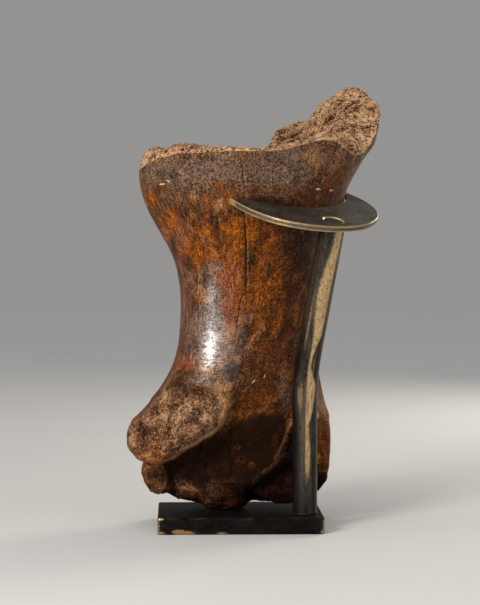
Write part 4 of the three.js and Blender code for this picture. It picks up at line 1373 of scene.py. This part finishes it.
class FOSSIL_OT_crescent(bpy.types.Operator):
    """Build the crescent that the bone's flared end lies in"""

    bl_idname = "fossil.crescent"
    bl_label = "Build crescent"

    def execute(self, context):
        piece = add_object("crescent", crescent_mesh())
        hole, under = ROD["head_tenon"] + HOLE_ROOM, -CRESCENT["thickness"] - 1
        profile = [(hole, under), (hole, BRINK_FROM)]
        profile += [(hole + wider, height) for wider, height in BRINK]
        bored(piece, turned_cutter("head_hole", profile, HEAD_HOLE_SIDES, head_to_world))
        # Bare brass round the bevel of the hole, partly a painted highlight.
        rub_brink(piece.data, hole, BRINK_FROM)
        finish_brass(piece, "dull_brass", CRESCENT_NODE, context.scene.fossil_stand)
        return {"FINISHED"}


class FOSSIL_OT_base_plate(bpy.types.Operator):
    """Build the blackened base plate"""

    bl_idname = "fossil.base_plate"
    bl_label = "Build base plate"

    def execute(self, context):
        piece = add_object("plate", plate_mesh())
        hole = ROD["foot_tenon"] + HOLE_ROOM
        profile = [(hole, -1), (hole, 12)]
        bored(piece, turned_cutter("foot_hole", profile, FOOT_HOLE_SIDES, foot_to_world))
        finish_brass(piece, "blackened_brass", PLATE_NODE, context.scene.fossil_stand)
        return {"FINISHED"}


def aimed(name, data, place, direction):
    """Puts a light or a camera at a place in metres, facing a direction."""
    made = bpy.data.objects.new(name, data)
    made.location = place
    made.rotation_euler = direction.to_track_quat("-Z", "Y").to_euler()
    bpy.context.scene.collection.objects.link(made)
    return made


class FOSSIL_OT_studio(bpy.types.Operator):
    """Set up the floor, the soft lights and the camera"""

    bl_idname = "fossil.studio"
    bl_label = "Set up studio"

    def execute(self, context):
        settings = context.scene.fossil_studio
        half = FLOOR_HALF
        mesh = bpy.data.meshes.new("floor")
        corners = [(-half, -half, 0), (half, -half, 0), (half, half, 0), (-half, half, 0)]
        mesh.from_pydata(corners, [], [(0, 1, 2, 3)])
        mesh.materials.append(floor_material(settings))
        floor = add_object("floor", mesh)
        floor.location.z = -FLOOR_GAP

        for name, (place, share, size, tint) in LIGHTS.items():
            light = bpy.data.lights.new(name, "AREA")
            light.energy, light.color = share * settings.key_power, tint
            light.shape, light.size, light.size_y = "RECTANGLE", *size
            aimed(name, light, place, Vector(LIT_MIDDLE) - Vector(place))
        sky = bpy.data.lights.new("sky", "SUN")
        sky.energy, sky.angle = settings.sky, math.radians(60)
        aimed("sky", sky, SKY_FROM, -Vector(SKY_FROM))

        world = bpy.data.worlds.new("studio")
        world.use_nodes = True
        background = world.node_tree.nodes["Background"]
        background.inputs["Color"].default_value = SURROUND_COLOUR
        background.inputs["Strength"].default_value = settings.surround
        context.scene.world = world
        context.scene.view_settings.view_transform = "Standard"

        camera = bpy.data.cameras.new("camera")
        camera.lens, camera.sensor_width = CAMERA["lens"], CAMERA["sensor"]
        camera.clip_start, camera.clip_end = 0.05, 50
        turn, dip = math.radians(CAMERA["turn"]), math.radians(CAMERA["dip"])
        looks = Vector((math.sin(turn) * math.cos(dip), math.cos(turn) * math.cos(dip), -math.sin(dip)))
        context.scene.camera = aimed("camera", camera, Vector(CAMERA["place"]) * MM, looks)
        return {"FINISHED"}


class FOSSIL_PT_display(bpy.types.Panel):
    """The pieces of the display, in the order that they are built"""

    bl_idname = "FOSSIL_PT_display"
    bl_label = "Fossil tibia"
    bl_space_type = "VIEW_3D"
    bl_region_type = "UI"
    bl_category = "Fossil tibia"

    def draw(self, context):
        for operator in OPERATORS:
            self.layout.operator(operator.bl_idname)
        for name in SETTINGS:
            box = self.layout.box()
            settings = getattr(context.scene, name)
            for key in settings.bl_rna.properties.keys():
                if key not in ("rna_type", "name"):
                    box.prop(settings, key)


OPERATORS = (FOSSIL_OT_bone, FOSSIL_OT_rod, FOSSIL_OT_crescent, FOSSIL_OT_base_plate, FOSSIL_OT_studio)
SETTINGS = {"fossil_bone": FOSSIL_PG_bone, "fossil_stand": FOSSIL_PG_stand, "fossil_studio": FOSSIL_PG_studio}


def register():
    """Adds the classes and the scene's settings."""
    for kind in (*SETTINGS.values(), *OPERATORS, FOSSIL_PT_display):
        bpy.utils.register_class(kind)
    for name, kind in SETTINGS.items():
        setattr(bpy.types.Scene, name, bpy.props.PointerProperty(type=kind))


def unregister():
    """Takes them away again."""
    for name in SETTINGS:
        delattr(bpy.types.Scene, name)
    for kind in (FOSSIL_PT_display, *reversed(OPERATORS), *reversed(SETTINGS.values())):
        bpy.utils.unregister_class(kind)


def main():
    """Registers the add-on and builds every piece."""
    register()
    bpy.ops.fossil.bone()
    bpy.ops.fossil.rod()
    bpy.ops.fossil.crescent()
    bpy.ops.fossil.base_plate()
    bpy.ops.fossil.studio()


if __name__ == "__main__":
    main()
